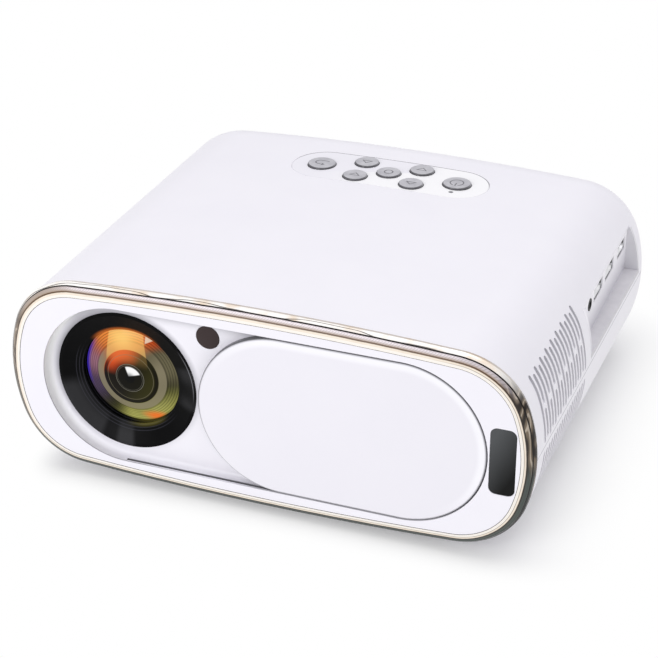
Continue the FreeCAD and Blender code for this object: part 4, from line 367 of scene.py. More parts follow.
def plating():
    """Rose-gold plated trim, from the plate outwards: a cream bevel, a brown groove, a finely hatched
    slope, a black line and a bright crest. Round the sides and low down it carries painted reflections:
    streaks of dark bronze with grey-green, brown and black."""
    look = Look("trim_gold", Specular_IOR_Level=0.35)
    x, y, z = look.place((0, FACE_Y, MID_Z))
    wave = look.noise(9 * MM, 2)
    deep = y + (wave - 0.5) * (0.10 * MM)
    slow = look.noise(38 * MM, 2, (1.0, 0.3, 1.0))
    hatch = (x + z * 0.35 - y * 2.6).wave(1.15 * MM).ramp(0.1, 0.9)
    # painted reflections: where the trim faces the port side, the far left and downwards it turns dark
    port = x.ramp(80 * MM, 101 * MM) * z.ramp(40 * MM, 25 * MM)
    port = port.most(x.ramp(-99 * MM, -106 * MM) * z.ramp(34 * MM, 20 * MM) * 0.75)
    dark = port.most(z.ramp(-20 * MM, -33 * MM))

    # painted reflection: streaks of dark bronze, grey-green, brown and black
    streak = look.noise(15 * MM, 1, (1.0, 1.8, 0.5))
    rings = (streak * 9.0 + y / (2.4 * MM)).wave(1.0)
    bronze = look.mix(tint(40, 33, 28), tint(116, 102, 86), rings.ramp(-0.7, 0.9))
    bronze = look.mix(bronze, tint(196, 184, 168), rings.ramp(0.90, 1.0) * 0.7)
    green = z.ramp(4 * MM, -8 * MM) * deep.ramp(3.2 * MM, 2.6 * MM)
    bronze = look.mix(bronze, tint(72, 78, 74), green)
    brown = z.ramp(2 * MM, -2 * MM) * deep.ramp(2.8 * MM, 3.2 * MM)
    bronze = look.mix(bronze, tint(104, 92, 84), brown)
    black = z.ramp(-8 * MM, -22 * MM) * deep.ramp(1.6 * MM, 2.6 * MM)
    bronze = look.mix(bronze, tint(8, 8, 7), black)

    cream = look.mix(tint(240, 228, 212), tint(228, 212, 194), wave.ramp(0.3, 0.75) * 0.5)
    cream = look.mix(cream, tint(246, 242, 236), y.ramp(0.16 * MM, 0.10 * MM) * 0.8)
    fold = y.within(0.12 * MM, 0.18 * MM, 0.02 * MM)
    fold = fold * x.ramp(66 * MM, 92 * MM).most(z.ramp(-26 * MM, -34 * MM))
    cream = look.mix(cream, tint(120, 112, 104), fold.most(x.ramp(-88 * MM, -98 * MM) * fold) * 0.8)
    slope = look.mix(tint(208, 199, 203), tint(160, 149, 149), hatch * 0.5)
    slope = look.mix(slope, tint(156, 132, 108), deep.ramp(1.15 * MM, 0.6 * MM) * 0.75)
    # painted reflection: brown on the slope at the far left
    slope = look.mix(slope, tint(164, 146, 126), x.ramp(-74 * MM, -96 * MM) * 0.7)
    slope = look.mix(slope, bronze, dark)
    crest = look.mix(tint(255, 252, 248), tint(240, 222, 202), wave.ramp(0.45, 0.7))
    crest = look.mix(crest, bronze, dark)
    strand = abs(deep - (1.95 * MM + (slow - 0.42) * (6.5 * MM)))
    strand = strand.ramp(0.20 * MM, 0.08 * MM) * slow.ramp(0.40, 0.46) * 0.9
    crest = look.mix(crest, tint(52, 44, 38), strand * (1.0 - dark))
    groove = look.mix(tint(96, 72, 50), tint(50, 42, 36), dark)

    edge_in, edge_out = 0.50 * MM, 1.75 * MM
    colour = look.mix(cream, slope, deep.ramp(edge_in - 0.05 * MM, edge_in + 0.05 * MM))
    colour = look.mix(colour, groove, deep.within(edge_in - 0.13 * MM, edge_in + 0.16 * MM, 0.05 * MM))
    colour = look.mix(colour, crest, deep.ramp(edge_out, edge_out + 0.10 * MM))
    line = (deep + wave * (0.16 * MM)).within(edge_out - 0.10 * MM, edge_out + 0.38 * MM, 0.04 * MM)
    colour = look.mix(colour, tint(20, 14, 12), line)
    colour = look.mix(colour, tint(150, 126, 100), deep.ramp(3.6 * MM, 4.2 * MM) * (1.0 - dark) * 0.55)
    # painted reflection: dark on the outer part at the far left and low down
    outer = x.ramp(-86 * MM, -98 * MM).most(z.ramp(-24 * MM, -34 * MM) * x.ramp(-20 * MM, -70 * MM))
    outer = outer * deep.ramp(2.4 * MM, 3.1 * MM) * z.ramp(34 * MM, 20 * MM)
    look.set("Base Color", look.mix(colour, tint(34, 28, 24), outer))
    look.set("Metallic", deep.ramp(edge_in, edge_out) * (0.12 + dark * 0.14))
    fine = look.noise(0.35 * MM, 2)
    look.set("Roughness", 0.34 - deep.ramp(edge_in, edge_out) * 0.14 + (fine - 0.5) * 0.05)
    return look.bump(look.noise(3.0 * MM, 2), 0.02 * MM)


def tinted_window(name, dark, light, x0, slant):
    """Polished dark plastic that lets infrared through: a painted reflection lightens it to one upper
    corner, with faint flow marks."""
    look = Look(name, Coat_Weight=0.10, Coat_Roughness=0.08, Specular_IOR_Level=0.12)
    x, _, z = look.place((x0, 0, MID_Z))
    flow = look.noise(12 * MM, 3, (1.0, 1.0, 0.4))
    # painted reflection: lighter towards one upper corner
    tone = z / (32 * MM) - x / slant + 0.45 + (flow - 0.5) * 0.25
    look.set("Base Color", look.mix(tint(*dark), tint(*light), tone.held()))
    look.set("Roughness", 0.34 + flow * 0.08)
    return look.bump(flow, 0.01 * MM)


def lens_black():
    """Satin black: fine turning marks round the lens's axis, a broad soft painted sheen low on the hood
    with rings inside it, a painted highlight on an edge at the right, and painted amber and olive
    reflections on the throat."""
    look = Look("lens_black", Specular_IOR_Level=0.05)
    x, _, z = look.place((LENS_X, FACE_Y, MID_Z))
    r = (x * x + z * z).root()
    side, up = x / r, z / r
    turned_marks = r.wave(0.5 * MM)
    soft = look.noise(6 * MM, 3)
    across = (x + 4 * MM) / r
    # painted sheen low on the hood
    sheen = across.within(-0.86, 0.18, 0.05) * z.ramp(-2 * MM, -9 * MM)
    sheen = sheen * (1.0 - across.within(-0.30, -0.08, 0.05) * 0.8)
    sheen = sheen.most(side.within(0.93, 0.99, 0.02) * z.within(-8 * MM, 12 * MM, 2 * MM) * 0.7)
    colour = look.mix(tint(3, 3, 4), tint(10, 10, 11), soft)
    colour = look.mix(colour, tint(48, 48, 50), sheen * r.ramp(20 * MM, 27 * MM))
    rings = r.wave(1.15 * MM).ramp(0.4, 0.95) * r.within(21.7 * MM, 24.8 * MM, 0.2 * MM)
    colour = look.mix(colour, tint(72, 72, 82), rings * (z + x * 0.6).ramp(2 * MM, -12 * MM) * 0.35)
    # painted reflections: amber and olive on the throat
    near = r.ramp(23.6 * MM, 21.8 * MM)
    amber = near * up.ramp(0.62, 0.85) * side.ramp(0.7, 0.2)
    colour = look.mix(colour, tint(196, 104, 40), amber * 0.8)
    olive = near * up.ramp(-0.65, -0.92) * side.ramp(-0.2, 0.25)
    colour = look.mix(colour, tint(120, 112, 44), olive * 0.45)
    # painted highlight: a thin bright line on the hood's edge at the right
    gloss = r.within(29.7 * MM, 30.0 * MM, 0.15 * MM) * side.ramp(0.75, 0.95)
    colour = look.mix(colour, tint(150, 150, 156), gloss * z.ramp(-6 * MM, 4 * MM) * 0.6)
    look.set("Base Color", colour)
    look.set("Roughness", 0.42 + (soft - 0.5) * 0.12)
    return look.bump(turned_marks, 0.004 * MM)


def coated_front():
    """Front lens: the coatings' reflections over fine baffle rings, painted on it and glowing. Amber above
    with a window's bright shape, violet at the left, olive below at the right, and a dark middle with a
    white glint. Lengths in it are in units of LENS_UNIT."""
    look = Look("coated_front", Specular_IOR_Level=0.06, Coat_Weight=0.02, Coat_Roughness=0.02,
                Roughness=0.12)
    x, _, z = look.place((LENS_X, FACE_Y, MID_Z))
    x, z = x / LENS_UNIT, z / LENS_UNIT
    r = (x * x + z * z).root()
    haze = look.noise(7 * MM, 2) - 0.5
    left = (-x / r).held()
    up = z / r

    tone = ((x * 0.25 - z * 0.95) / 16 + haze * 0.3).ramp(0.2, 1.2)
    olive = look.mix(tint(30, 32, 10), tint(170, 168, 92), tone)
    grey = look.mix(tint(50, 46, 30), tint(104, 98, 74), (x / 18 + haze * 0.3).ramp(-0.2, 0.9))
    colour = look.mix(olive, grey, up.ramp(-0.35, 0.35))
    tone = ((z - abs(x + 4.0) * 0.5) / 14 + haze * 0.4).ramp(0.0, 1.1)
    amber = look.mix(tint(176, 84, 34), tint(238, 142, 66), tone)
    colour = look.mix(colour, amber, (z - x * 0.85 - 1.0).ramp(1.0, 11.0))
    ember = look.mix(tint(60, 22, 10), tint(190, 66, 22), (z - x * 0.5).ramp(2.0, 12.0))
    colour = look.mix(colour, ember, x.ramp(4.5, 7.5) * z.ramp(11.0, 16.0) * 0.85)
    mauve = left.ramp(0.45, 0.95) * up.ramp(0.75, 0.2) * r.ramp(12.0, 15.0)
    colour = look.mix(colour, tint(140, 108, 132), mauve * 0.8)
    colour = look.mix(colour, tint(56, 54, 78), left.ramp(0.35, 0.9) * up.ramp(0.2, -0.35) * 0.8)
    violet = left.ramp(0.74, 0.98) * r.ramp(18.6, 20.8) * up.ramp(-0.5, -0.05)
    colour = look.mix(colour, tint(56, 40, 182), violet)
    colour = look.mix(colour, tint(22, 22, 24), up.ramp(-0.45, -0.85) * left.ramp(0.05, 0.5) * 0.8)

    lines = r.wave(0.95).ramp(0.2, 0.95) * r.within(15.1, 20.6, 0.2)
    colour = look.mix(colour, tint(14, 10, 6), lines * 0.5)
    ring = look.mix(tint(132, 124, 100), colour, up.ramp(0.3, 0.9) * 0.8)
    colour = look.mix(colour, ring, r.within(11.9, 15.0, 0.15) * 0.85)
    colour = look.mix(colour, tint(20, 14, 8), r.within(14.95, 15.2, 0.10) * 0.5)

    inner = look.mix(tint(18, 14, 6), tint(48, 46, 16), (x / 12 - z / 24).ramp(-0.2, 0.9))
    glow = ((z * 0.86 - x * 0.51) / r).ramp(0.45, 1.05) * r.ramp(4.2, 10.4)
    inner = look.mix(inner, tint(226, 84, 36), glow)
    colour = look.mix(colour, inner, r.ramp(11.9, 11.7))
    colour = look.mix(colour, tint(10, 6, 4), r.within(10.3, 11.7, 0.15) * up.ramp(0.95, 0.3) * 0.8)
    colour = look.mix(colour, tint(112, 104, 84), r.within(9.75, 9.95, 0.08) * 0.8)
    colour = look.mix(colour, tint(16, 15, 10), r.ramp(6.3, 6.1) * 0.85)
    bright_rings = r.within(5.95, 6.1, 0.09).most(r.within(5.35, 5.45, 0.07) * 0.6)
    colour = look.mix(colour, tint(150, 146, 132), bright_rings * 0.75)
    colour = look.mix(colour, tint(12, 12, 10), r.ramp(2.3, 2.0))

    pane = (x - z * 0.04).within(-10.8, 7.4, 0.25) * (x + z * 0.235 - 9.2).ramp(0.25, -0.25)
    pane = pane * z.ramp(4.0, 9.0) * (0.25 + r.ramp(11.7, 12.0) * 0.75)
    bright = z.within(13.0, 19.0, 4.0) * (x + 3.5).within(-5.0, 4.0, 4.0)
    colour = look.mix(colour, tint(255, 206, 118), pane * (0.42 + bright * 0.55))
    spark = (x - 6.0).ramp(-0.15, 0.15) * (20.8 - z - (x - 6.0) * 1.05).ramp(-0.15, 0.2)
    spark = spark * (z - 15.0 - (x - 6.0) * 0.45).ramp(-0.15, 0.2)
    colour = look.mix(colour, tint(232, 206, 180), spark * 0.85)
    spot = ((x - 9.0) * (x - 9.0) * 0.06 + (z + 17.4) * (z + 17.4) * 0.28).root()
    colour = look.mix(colour, tint(244, 116, 44), spot.ramp(1.9, 0.1) * 0.9)
    glint = (z - x * 0.30).ramp(0.7, 1.3) * (x + z * 0.38).ramp(-0.3, 0.3) * r.ramp(5.2, 4.7)
    colour = look.mix(colour, tint(255, 255, 255), glint * (0.25 + r.ramp(0.8, 3.4) * 0.7))
    rim = r.ramp(20.2, 21.0) * (1.0 - left.ramp(0.6, 0.9).most(up.ramp(0.2, 0.6)))
    colour = look.mix(colour, tint(8, 8, 9), rim)

    look.set("Base Color", look.mix(colour, tint(0, 0, 0), 0.9))
    look.set("Emission Color", colour)
    look.set("Emission Strength", 0.9)
    return look.bump(haze, 0.004 * MM)


def clear_glass(name, colour, rough=0.0):
    """Clear optical plastic or glass with a trace of haze."""
    look = Look(name, Transmission_Weight=1.0, IOR=1.5)
    haze = look.noise(9 * MM, 2)
    duller = tint(*[c * 0.94 for c in colour])
    look.set("Base Color", look.mix(tint(*colour), duller, haze.ramp(0.3, 0.8)))
    look.set("Roughness", rough + haze * 0.02)
    return look


def stroke(distance, width):
    """1 nearer to a line than half its width, which falls to 0 over a thin edge."""
    return distance.ramp(width + 0.06 * MM, width - 0.06 * MM)


def key_marks(look):
    """Line marks on the keys: four arrows that point to the rear (1) or to the front (-1), a ring, a power
    mark and a return mark."""
    width = MARK_HALF_W
    parts = []
    wide, high = ARROW_HALF_W, ARROW_H
    for i, j, rearward in ((-1, -1, 1), (1, -1, -1), (-1, 1, -1), (1, 1, 1)):
        x, y, _ = look.place((KEY_X + i * ARROW_DX, KEY_ROW_Y + j * ARROW_DY, 0))
        down = y * -rearward
        slant = (abs(x) * high - (down + high * 2 / 3) * wide) / math.hypot(wide, high)
        parts.append(stroke(abs((down - high / 3).most(slant)), width * 0.8))

    x, y, _ = look.place((KEY_X, KEY_ROW_Y, 0))
    parts.append(stroke(abs((x * x + y * y).root() - RING_MARK_R), width))

    x, y, _ = look.place((POWER_X, KEY_ROW_Y, 0))
    ring = abs((x * x + y * y).root() - POWER_MARK_R)
    gap = abs(x).ramp(1.0 * MM, 1.2 * MM).most(y.ramp(-0.1 * MM, 0.1 * MM))
    parts.append(stroke(ring, width) * gap)
    parts.append(stroke(abs(x), width) * y.within(-3.4 * MM, -0.4 * MM, 0.05 * MM))

    x, y, _ = look.place((BACK_X, KEY_ROW_Y, 0))
    bend_x, bend_y = x + 1.0 * MM, y - 0.3 * MM
    bend = (bend_x * bend_x + bend_y * bend_y).root() - BACK_MARK_R
    parts.append(stroke(abs(bend), width) * bend_x.ramp(0.05 * MM, -0.05 * MM))
    parts.append(stroke(abs(bend_y - BACK_MARK_R), width) * x.within(-1.0 * MM, 2.8 * MM, 0.05 * MM))
    tail = abs(bend_y + BACK_MARK_R)
    parts.append(stroke(tail, width) * x.within(-1.0 * MM, 0.6 * MM, 0.05 * MM))
    head = (x - 1.9 * MM) * 0.75 + tail
    parts.append(head.ramp(0.05 * MM, -0.05 * MM) * x.ramp(0.4 * MM, 0.5 * MM))

    _, _, z = look.place((0, 0, KEY_MARK_Z))
    return either(*parts) * z.ramp(-0.3 * MM, 0.3 * MM)


def key_caps():
    """Silver-grey caps with darker line marks and painted shade on a dark edge, darkest towards the front.
    """
    look = Look("key_grey", Specular_IOR_Level=0.5, Coat_Weight=0.25, Coat_Roughness=0.15)
    marks = key_marks(look)
    cloud = look.noise(4 * MM, 2)
    colour = look.mix(tint(198, 197, 202), tint(176, 175, 181), cloud.ramp(0.2, 0.8))
    keys = [(KEY_X + i * ARROW_DX, KEY_ROW_Y + j * ARROW_DY, KEY_R) for i in (-1, 1) for j in (-1, 1)]
    keys.append((KEY_X, KEY_ROW_Y, KEY_R))
    keys.append((POWER_X, KEY_ROW_Y, END_KEY_R))
    keys.append((BACK_X, KEY_ROW_Y, END_KEY_R))
    for key_x, key_y, radius in keys:
        x, y, _ = look.place((key_x, key_y, 0))
        out = (x * x + y * y).root() - radius
        # painted shade on the cap's edge, darker towards the front
        rim = out.ramp(-0.60 * MM, -0.15 * MM) * out.ramp(1.5 * MM, 1.2 * MM)
        colour = look.mix(colour, tint(84, 83, 88), rim * (y.ramp(3 * MM, -4 * MM) * 0.7 + 0.3))
    look.set("Base Color", look.mix(colour, tint(88, 86, 92), marks * 0.9))
    look.set("Roughness", 0.34 + marks * 0.1 + (cloud - 0.5) * 0.08)
    return look.bump(1.0 - marks, 0.06 * MM)


def gloss_panel():
    """Glossy key panel: a painted reflection makes a lighter half beyond a slanting edge, as of a mirrored
    wall, and a painted shade line runs at the rear of its outline."""
    look = Look("panel_gloss", Coat_Weight=0.6, Coat_Roughness=0.03, Specular_IOR_Level=0.5)
    cloud = look.noise(30 * MM, 2)
    x, y, _ = look.place((PANEL_X, PANEL_Y, 0))
    r, _ = oval(x, y, -PANEL_END, PANEL_END)
    # painted reflection: lighter beyond a slanting edge
    light = (x * 0.30 - y + 1.0 * MM).ramp(-0.5 * MM, 0.5 * MM) * x.ramp(-34 * MM, 0.0)
    light = light.most(x.ramp(10 * MM, 24 * MM))
    colour = look.mix(tint(243, 241, 248), tint(254, 253, 255), light)
    # painted shade line at the rear of the outline
    shade = r.ramp(PANEL_R - 0.55 * MM, PANEL_R - 0.2 * MM) * y.ramp(-2 * MM, 9 * MM)
    look.set("Base Color", look.mix(colour, tint(132, 131, 136), shade))
    look.set("Roughness", 0.12 + cloud * 0.06)
    return look.bump(cloud, 0.03 * MM)


def steel(name, colour, rough=0.28, grain=(1.0, 1.0, 12.0)):
    """Bare or plated metal with fine drawing marks."""
    look = Look(name, Metallic=1.0)
    marks = look.noise(0.9 * MM, 3, grain)
    cloud = look.noise(14 * MM, 2)
    duller = tint(*[c * 0.84 for c in colour])
    look.set("Base Color", look.mix(tint(*colour), duller, (marks * 0.6 + cloud * 0.4).held()))
    look.set("Roughness", rough + (marks - 0.5) * 0.14)
    return look.bump(marks, 0.01 * MM)


def socket_steel():
    """Nickel shells with painted shade dark in their upper insides, a black tongue, and a pale lower inside
    face that glows a little as a painted reflection.
    """
    look = Look("socket_steel")
    x, y, z = look.place((BAY_WALL_X, 0, PORT_Z))
    inside = x.ramp(-0.5 * MM, -0.7 * MM)
    centre = abs(y - VIDEO_Y[0]).least(abs(y - VIDEO_Y[1])).least(abs(y - USB_Y))
    tongue = z.within(-0.35 * MM, 2.4 * MM, 0.05 * MM) * x.ramp(-0.7 * MM, -0.9 * MM)
    tongue = tongue * centre.ramp(5.9 * MM, 5.6 * MM)
    marks = look.noise(0.8 * MM, 3, (1.0, 8.0, 1.0))
    colour = look.mix(tint(236, 236, 238), tint(206, 206, 210), marks)
    # black for the real tongue, and painted shade in the shells' upper insides
    colour = look.mix(colour, tint(5, 5, 6), tongue.most(inside * z.ramp(-0.8 * MM, -0.3 * MM)))
    look.set("Base Color", colour)
    # painted reflection: the lower inside face glows
    low = inside * z.ramp(-1.2 * MM, -1.8 * MM)
    look.set("Emission Color", look.mix(tint(0, 0, 0), tint(240, 240, 242), low))
    look.set("Emission Strength", 0.55)
    look.set("Metallic", (1.0 - tongue) * (1.0 - inside))
    look.set("Roughness", 0.24 + marks * 0.12 + tongue * 0.25)
    return look.bump(marks, 0.008 * MM)


def circuit_board():
    """Green solder resist with tracks and pads on the bare faces; parts that stand on them are dark."""
    look = Look("board_green", Specular_IOR_Level=0.5)
    tracks_a = look.noise(3.2 * MM, 1, (0.12, 1.0, 1.0))
    tracks_b = look.noise(2.6 * MM, 1, (1.0, 0.12, 1.0))
    tracks = abs(tracks_a - 0.5).ramp(0.03, 0.015).most(abs(tracks_b - 0.5).ramp(0.025, 0.012))
    dots = look.node("ShaderNodeTexVoronoi", {"Vector": look.coords, "Scale": 260.0})
    pads = Val(look, dots.outputs["Distance"]).ramp(0.26, 0.20)
    _, _, z = look.place()
    bare = either(*[z.within(*face) for face in BOARD_FACES_Z])
    green = look.mix(tint(18, 92, 48), tint(40, 132, 72), tracks * 0.8)
    green = look.mix(green, tint(205, 200, 170), pads * 0.8)
    part = look.mix(tint(26, 26, 28), tint(52, 52, 56), look.noise(5 * MM, 2).ramp(0.3, 0.7))
    look.set("Base Color", look.mix(part, green, bare))
    look.set("Roughness", 0.34 + tracks * 0.1)
    return look.bump(tracks, 0.02 * MM)


def copper_board():
    """Copper lamp board with the lamp's yellow square chip on its front."""
    look = Look("led_copper", Metallic=0.6)
    x, y, z = look.place((LENS_X, LAMP_CHIP_Y, MID_Z))
    chip = abs(x).most(abs(z)).ramp(LAMP_CHIP_HALF + 0.1 * MM, LAMP_CHIP_HALF - 0.1 * MM)
    chip = chip * y.ramp(0.1 * MM, -0.1 * MM)
    cloud = look.noise(2 * MM, 3)
    colour = look.mix(tint(198, 132, 96), tint(160, 100, 70), cloud)
    look.set("Base Color", look.mix(colour, tint(246, 222, 120), chip))
    look.set("Roughness", 0.35 + cloud * 0.1)
    return look.bump(cloud, 0.01 * MM)


def speaker_black():
    """Dark fibrous speaker with pressed rings round its middle."""
    look = Look("speaker_black", Specular_IOR_Level=0.3)
    x, y, _ = look.place((0, SPEAKER_Y, 0))
    side = abs(x) - SPEAKER_X
    rings = (side * side + y * y).root().wave(1.6 * MM)
    fibre = look.noise(0.7 * MM, 3)
    look.set("Base Color", look.mix(tint(34, 33, 33), tint(62, 60, 58), fibre))
    look.set("Roughness", 0.62 + fibre * 0.2)
    return look.bump(rings + fibre * 0.5, 0.05 * MM)


def rubber():
    """Soft black rubber, finely mottled."""
    look = Look("foot_rubber", Specular_IOR_Level=0.25)
    fine = look.noise(0.5 * MM, 3)
    look.set("Base Color", look.mix(tint(38, 38, 39), tint(56, 55, 55), fine))
    look.set("Roughness", 0.75 + fine * 0.15)
    return look.bump(fine, 0.05 * MM)


def light_pipe():
    """Smoky grey plastic over the status lamp."""
    look = Look("light_pipe", Coat_Weight=0.6, Coat_Roughness=0.1)
    haze = look.noise(0.8 * MM, 2)
    look.set("Base Color", look.mix(tint(96, 96, 100), tint(132, 132, 138), haze))
    look.set("Roughness", 0.3 + haze * 0.1)
    return look.bump(haze, 0.01 * MM)


LOOKS = {
    "case_white": moulding("case_white", (240, 238, 244), (234, 232, 239), seam=True),
    "face_white": front_plate(),
    "trim_gold": plating(),
    "bay_grey": port_tub(),
    "dark_window": tinted_window("dark_window", (2, 2, 2), (78, 80, 82), WINDOW_X, 17 * MM),
    "lens_black": lens_black(),
    "coated_glass": clear_glass("coated_glass", (250, 244, 232)),
    "optic_clear": clear_glass("optic_clear", (236, 242, 246), 0.04),
    "engine_black": moulding("engine_black", (30, 30, 31), (44, 44, 46), rough=0.5, grain=0.4 * MM,
                             depth=0.03 * MM),
    "panel_gloss": gloss_panel(),
    "key_grey": key_caps(),
    "light_pipe": light_pipe(),
    "board_green": circuit_board(),
    "led_copper": copper_board(),
    "sink_aluminium": steel("sink_aluminium", (206, 208, 210), 0.34, (1.0, 12.0, 1.0)),
    "fan_black": moulding("fan_black", (24, 24, 26), (40, 40, 43), rough=0.45, grain=0.5 * MM,
                          depth=0.03 * MM),
    "socket_steel": socket_steel(),
    "socket_black": moulding("socket_black", (26, 26, 27), (42, 42, 44), rough=0.45, depth=0.02 * MM),
    "sheet_steel": steel("sheet_steel", (190, 192, 196), 0.3, (1.0, 12.0, 1.0)),
    "tray_black": moulding("tray_black", (34, 34, 36), (48, 48, 51), rough=0.42, depth=0.02 * MM),
    "speaker_black": speaker_black(),
    "foot_rubber": rubber(),
    "brass": steel("brass", (206, 172, 104), 0.28, (1.0, 1.0, 8.0)),
}
for part in frame["record"]["subparts"]:
    node = frame["nodes"][part["node"]]
    node.data.materials.clear()
    node.data.materials.append(LOOKS[part["material_slot"]].material)
sensor_brown = tinted_window("sensor_brown", (46, 36, 36), (58, 47, 47), SENSOR_X, 40 * MM)
frame["nodes"]["sensor_lens"].data.materials[0] = sensor_brown.material
frame["nodes"]["lens_cover"].data.materials[0] = cover_plate().material


# ---------------------------------------------------------------- computed pieces
def surface(name, points, close_ends=False):
    """A piece from a grid of points that closes on itself in the second direction, and in the first too if
    asked. Points that coincide are joined, and the faces are turned outwards."""
    rows, steps = points.shape[:2]
    a = np.arange(rows * steps).reshape(rows, steps)
    if close_ends:
        a = np.concatenate([a, a[:1]])
    b = np.roll(a, -1, 1)
    faces = np.stack([a[:-1], b[:-1], b[1:], a[1:]], -1).reshape(-1, 4)
    mesh = bpy.data.meshes.new(name)
    mesh.from_pydata(points.reshape(-1, 3).tolist(), [], faces.tolist())
    shape = bmesh.new()
    shape.from_mesh(mesh)
    bmesh.ops.remove_doubles(shape, verts=shape.verts, dist=1e-7)
    bmesh.ops.recalc_face_normals(shape, faces=shape.faces)
    shape.to_mesh(mesh)
    shape.free()
    piece = bpy.data.objects.new(name, mesh)
    bpy.context.scene.collection.objects.link(piece)
    return piece


def turned(name, profile, x0, z0, steps=160):
    """A turned surface about the line along y through (x0, z0), from (radius, y) points."""
    r, y = np.array(profile).T
    v = np.linspace(0, 2 * np.pi, steps, endpoint=False)
    x = x0 + np.outer(r, np.cos(v))
    z = z0 + np.outer(r, np.sin(v))
    piece = surface(name, np.stack([x, np.repeat(y[:, None], steps, 1), z], -1))
    piece.data.shade_smooth()
    return piece


def dome(radius, sag, front_y, steps=40):
    """(radius, y) points of a spherical cap whose rim stands at front_y."""
    ball = (radius * radius + sag * sag) / (2 * sag)
    r = np.linspace(0.0, radius, steps)
    return list(zip(r, front_y - sag + ball - np.sqrt(ball * ball - r * r)))


def outline(out, steps=48):
    """The plate's outline moved outwards by so many millimetres, as (x, z) points in metres, anticlockwise
    from the right end."""
    half_w, half_h = FACE_HALF_W + out, FACE_HALF_H + out
    top_r, side_r, corner_r = FACE_TOP_R + out, FACE_SIDE_R + out, FACE_CORNER_R + out
    top_z, side_x = half_h - top_r, half_w - side_r
    apart = math.hypot(side_x, top_z)
    far, near = top_r - corner_r, side_r - corner_r
    along = (far ** 2 - near ** 2 + apart ** 2) / (2 * apart)
    across = math.sqrt(far ** 2 - along ** 2)
    ux, uz = side_x / apart, -top_z / apart
    corner_x, corner_z = ux * along + uz * across, top_z + uz * along - ux * across
    side_angle = math.atan2(corner_z, corner_x - side_x)
    top_angle = math.atan2(corner_z - top_z, corner_x)
    arcs = [
        (side_x, 0.0, side_r, 0.0, side_angle),
        (corner_x, corner_z, corner_r, side_angle, top_angle),
        (0.0, top_z, top_r, top_angle, math.pi / 2),
    ]
    points = []
    for x0, z0, radius, start, stop in arcs:
        turn = np.linspace(start, stop, steps, endpoint=False)
        points.append(np.stack([x0 + radius * np.cos(turn), z0 + radius * np.sin(turn)], -1))
    first = np.concatenate(points)
    second = (first * (-1, 1))[::-1]
    half = np.concatenate([first, second[:-1]])
    return np.concatenate([half, -half]) * MM


def ribbon(name, inner, outer, front, back):
    """A closed band round the front plate: the rectangle between two offsets in millimetres and two depths
    in metres, carried along the plate's outline."""
    corners = [(inner, front), (outer, front), (outer, back), (inner, back)]
    loops = []
    for out, depth in corners:
        x, z = outline(out).T
        loops.append(np.stack([x, np.full_like(x, FACE_Y + depth), MID_Z + z], -1))
    return surface(name, np.stack(loops), close_ends=True)


lens_back_y = LENS_FRONT_Y + LENS_T
lens_profile = dome(LENS_R - LENS_RIM, LENS_SAG, LENS_FRONT_Y)
lens_profile += [(LENS_R, LENS_FRONT_Y), (LENS_R, lens_back_y), (0.0, lens_back_y)]
glass = turned("front_glass", lens_profile, LENS_X, MID_Z)
glass.data.materials.append(coated_front().material)
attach(glass, "barrel")
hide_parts("front_lens")

# painted shade: a dark band stands for the shadow in the gap between the plate and its trim
gap_shade = ribbon("plate_gap_shade", GAP_SHADE_IN, GAP_SHADE_OUT, GAP_SHADE_FRONT, GAP_SHADE_BACK)
gap_shade.data.materials.append(moulding("gap_shade_grey", (44, 42, 40), (70, 66, 62), rough=0.6).material)
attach(gap_shade, "case")

# ---------------------------------------------------------------- studio
scene = bpy.context.scene


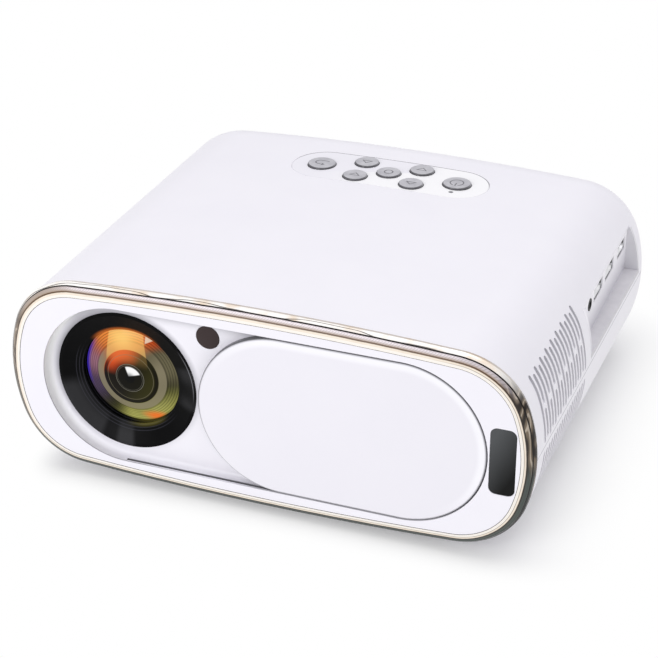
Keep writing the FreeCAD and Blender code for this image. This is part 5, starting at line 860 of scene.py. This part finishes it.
def studio_floor():
    """Pale table: it takes the projector's shadow and fades to white away from it, sooner at the left and
    in front than at the right."""
    look = Look("studio_floor", Roughness=0.6, Specular_IOR_Level=0.2)
    x, y, _ = look.place()
    grain = look.noise(40 * MM, 2)
    look.set("Base Color", look.mix(tint(243, 243, 243), tint(241, 241, 241), grain))
    squares = []
    for way, (start, length) in ((x, FADE_RIGHT), (-x, FADE_LEFT), (-y, FADE_FRONT), (y, FADE_REAR)):
        past = ((way - start) / length).most(0.0)
        squares.append(past * past)
    reach = sum(squares[1:], squares[0]).root()
    glow = look.node("ShaderNodeEmission", {"Color": (1.0, 1.0, 1.0, 1.0), "Strength": 1.0})
    shaders = {0: reach.ramp(0.0, 1.0), 1: look.bsdf.outputs[0], 2: glow.outputs[0]}
    blend = look.node("ShaderNodeMixShader", shaders)
    look.tree.links.new(blend.outputs[0], look.tree.nodes["Material Output"].inputs[0])
    mesh = bpy.data.meshes.new("studio_floor")
    s = FLOOR_HALF
    mesh.from_pydata([(-s, -s, 0), (s, -s, 0), (s, s, 0), (-s, s, 0)], [], [(0, 1, 2, 3)])
    mesh.materials.append(look.material)
    floor = bpy.data.objects.new("studio_floor", mesh)
    floor.location.z = -FLOOR_DROP
    scene.collection.objects.link(floor)
    return floor


def softbox(name, place, size, power):
    """White square area light at a place, turned to the projector."""
    lamp = bpy.data.lights.new(name, "AREA")
    lamp.size = size
    lamp.energy = power
    holder = bpy.data.objects.new(name, lamp)
    holder.location = place
    direction = LAMP_AIM - Vector(place)
    holder.rotation_euler = direction.to_track_quat("-Z", "Y").to_euler()
    scene.collection.objects.link(holder)
    return holder


floor = studio_floor()
lamps = [
    softbox("top_light", (0.10, 0.15, 1.2), 0.9, 6.0),
    softbox("front_light", (-0.45, -1.1, 0.55), 0.6, 6.0),
    softbox("side_light", (1.1, -0.1, 0.5), 0.5, 0.9),
]

world = bpy.data.worlds.new("studio")
world.use_nodes = True
scene.world = world
tree = world.node_tree
sky = tree.nodes["Background"]          # what lights the scene
sky.inputs["Color"].default_value = (0.97, 0.97, 1.0, 1.0)
sky.inputs["Strength"].default_value = SKY_STRENGTH
white = tree.nodes.new("ShaderNodeBackground")      # what the camera sees behind it
white.inputs["Color"].default_value = (1.0, 1.0, 1.0, 1.0)
path = tree.nodes.new("ShaderNodeLightPath")
pick = tree.nodes.new("ShaderNodeMixShader")
tree.links.new(path.outputs["Is Camera Ray"], pick.inputs[0])
tree.links.new(sky.outputs[0], pick.inputs[1])
tree.links.new(white.outputs[0], pick.inputs[2])
tree.links.new(pick.outputs[0], tree.nodes["World Output"].inputs["Surface"])

scene.view_settings.view_transform = "Standard"
lens = bpy.data.cameras.new("camera")
lens.lens = FOCAL_MM
lens.sensor_width = SENSOR_MM
camera = bpy.data.objects.new("camera", lens)
camera_turn = Euler([math.radians(angle) for angle in CAMERA_ANGLES])
camera.matrix_world = Matrix.LocRotScale(CAMERA_PLACE, camera_turn, None)
scene.collection.objects.link(camera)
scene.camera = camera
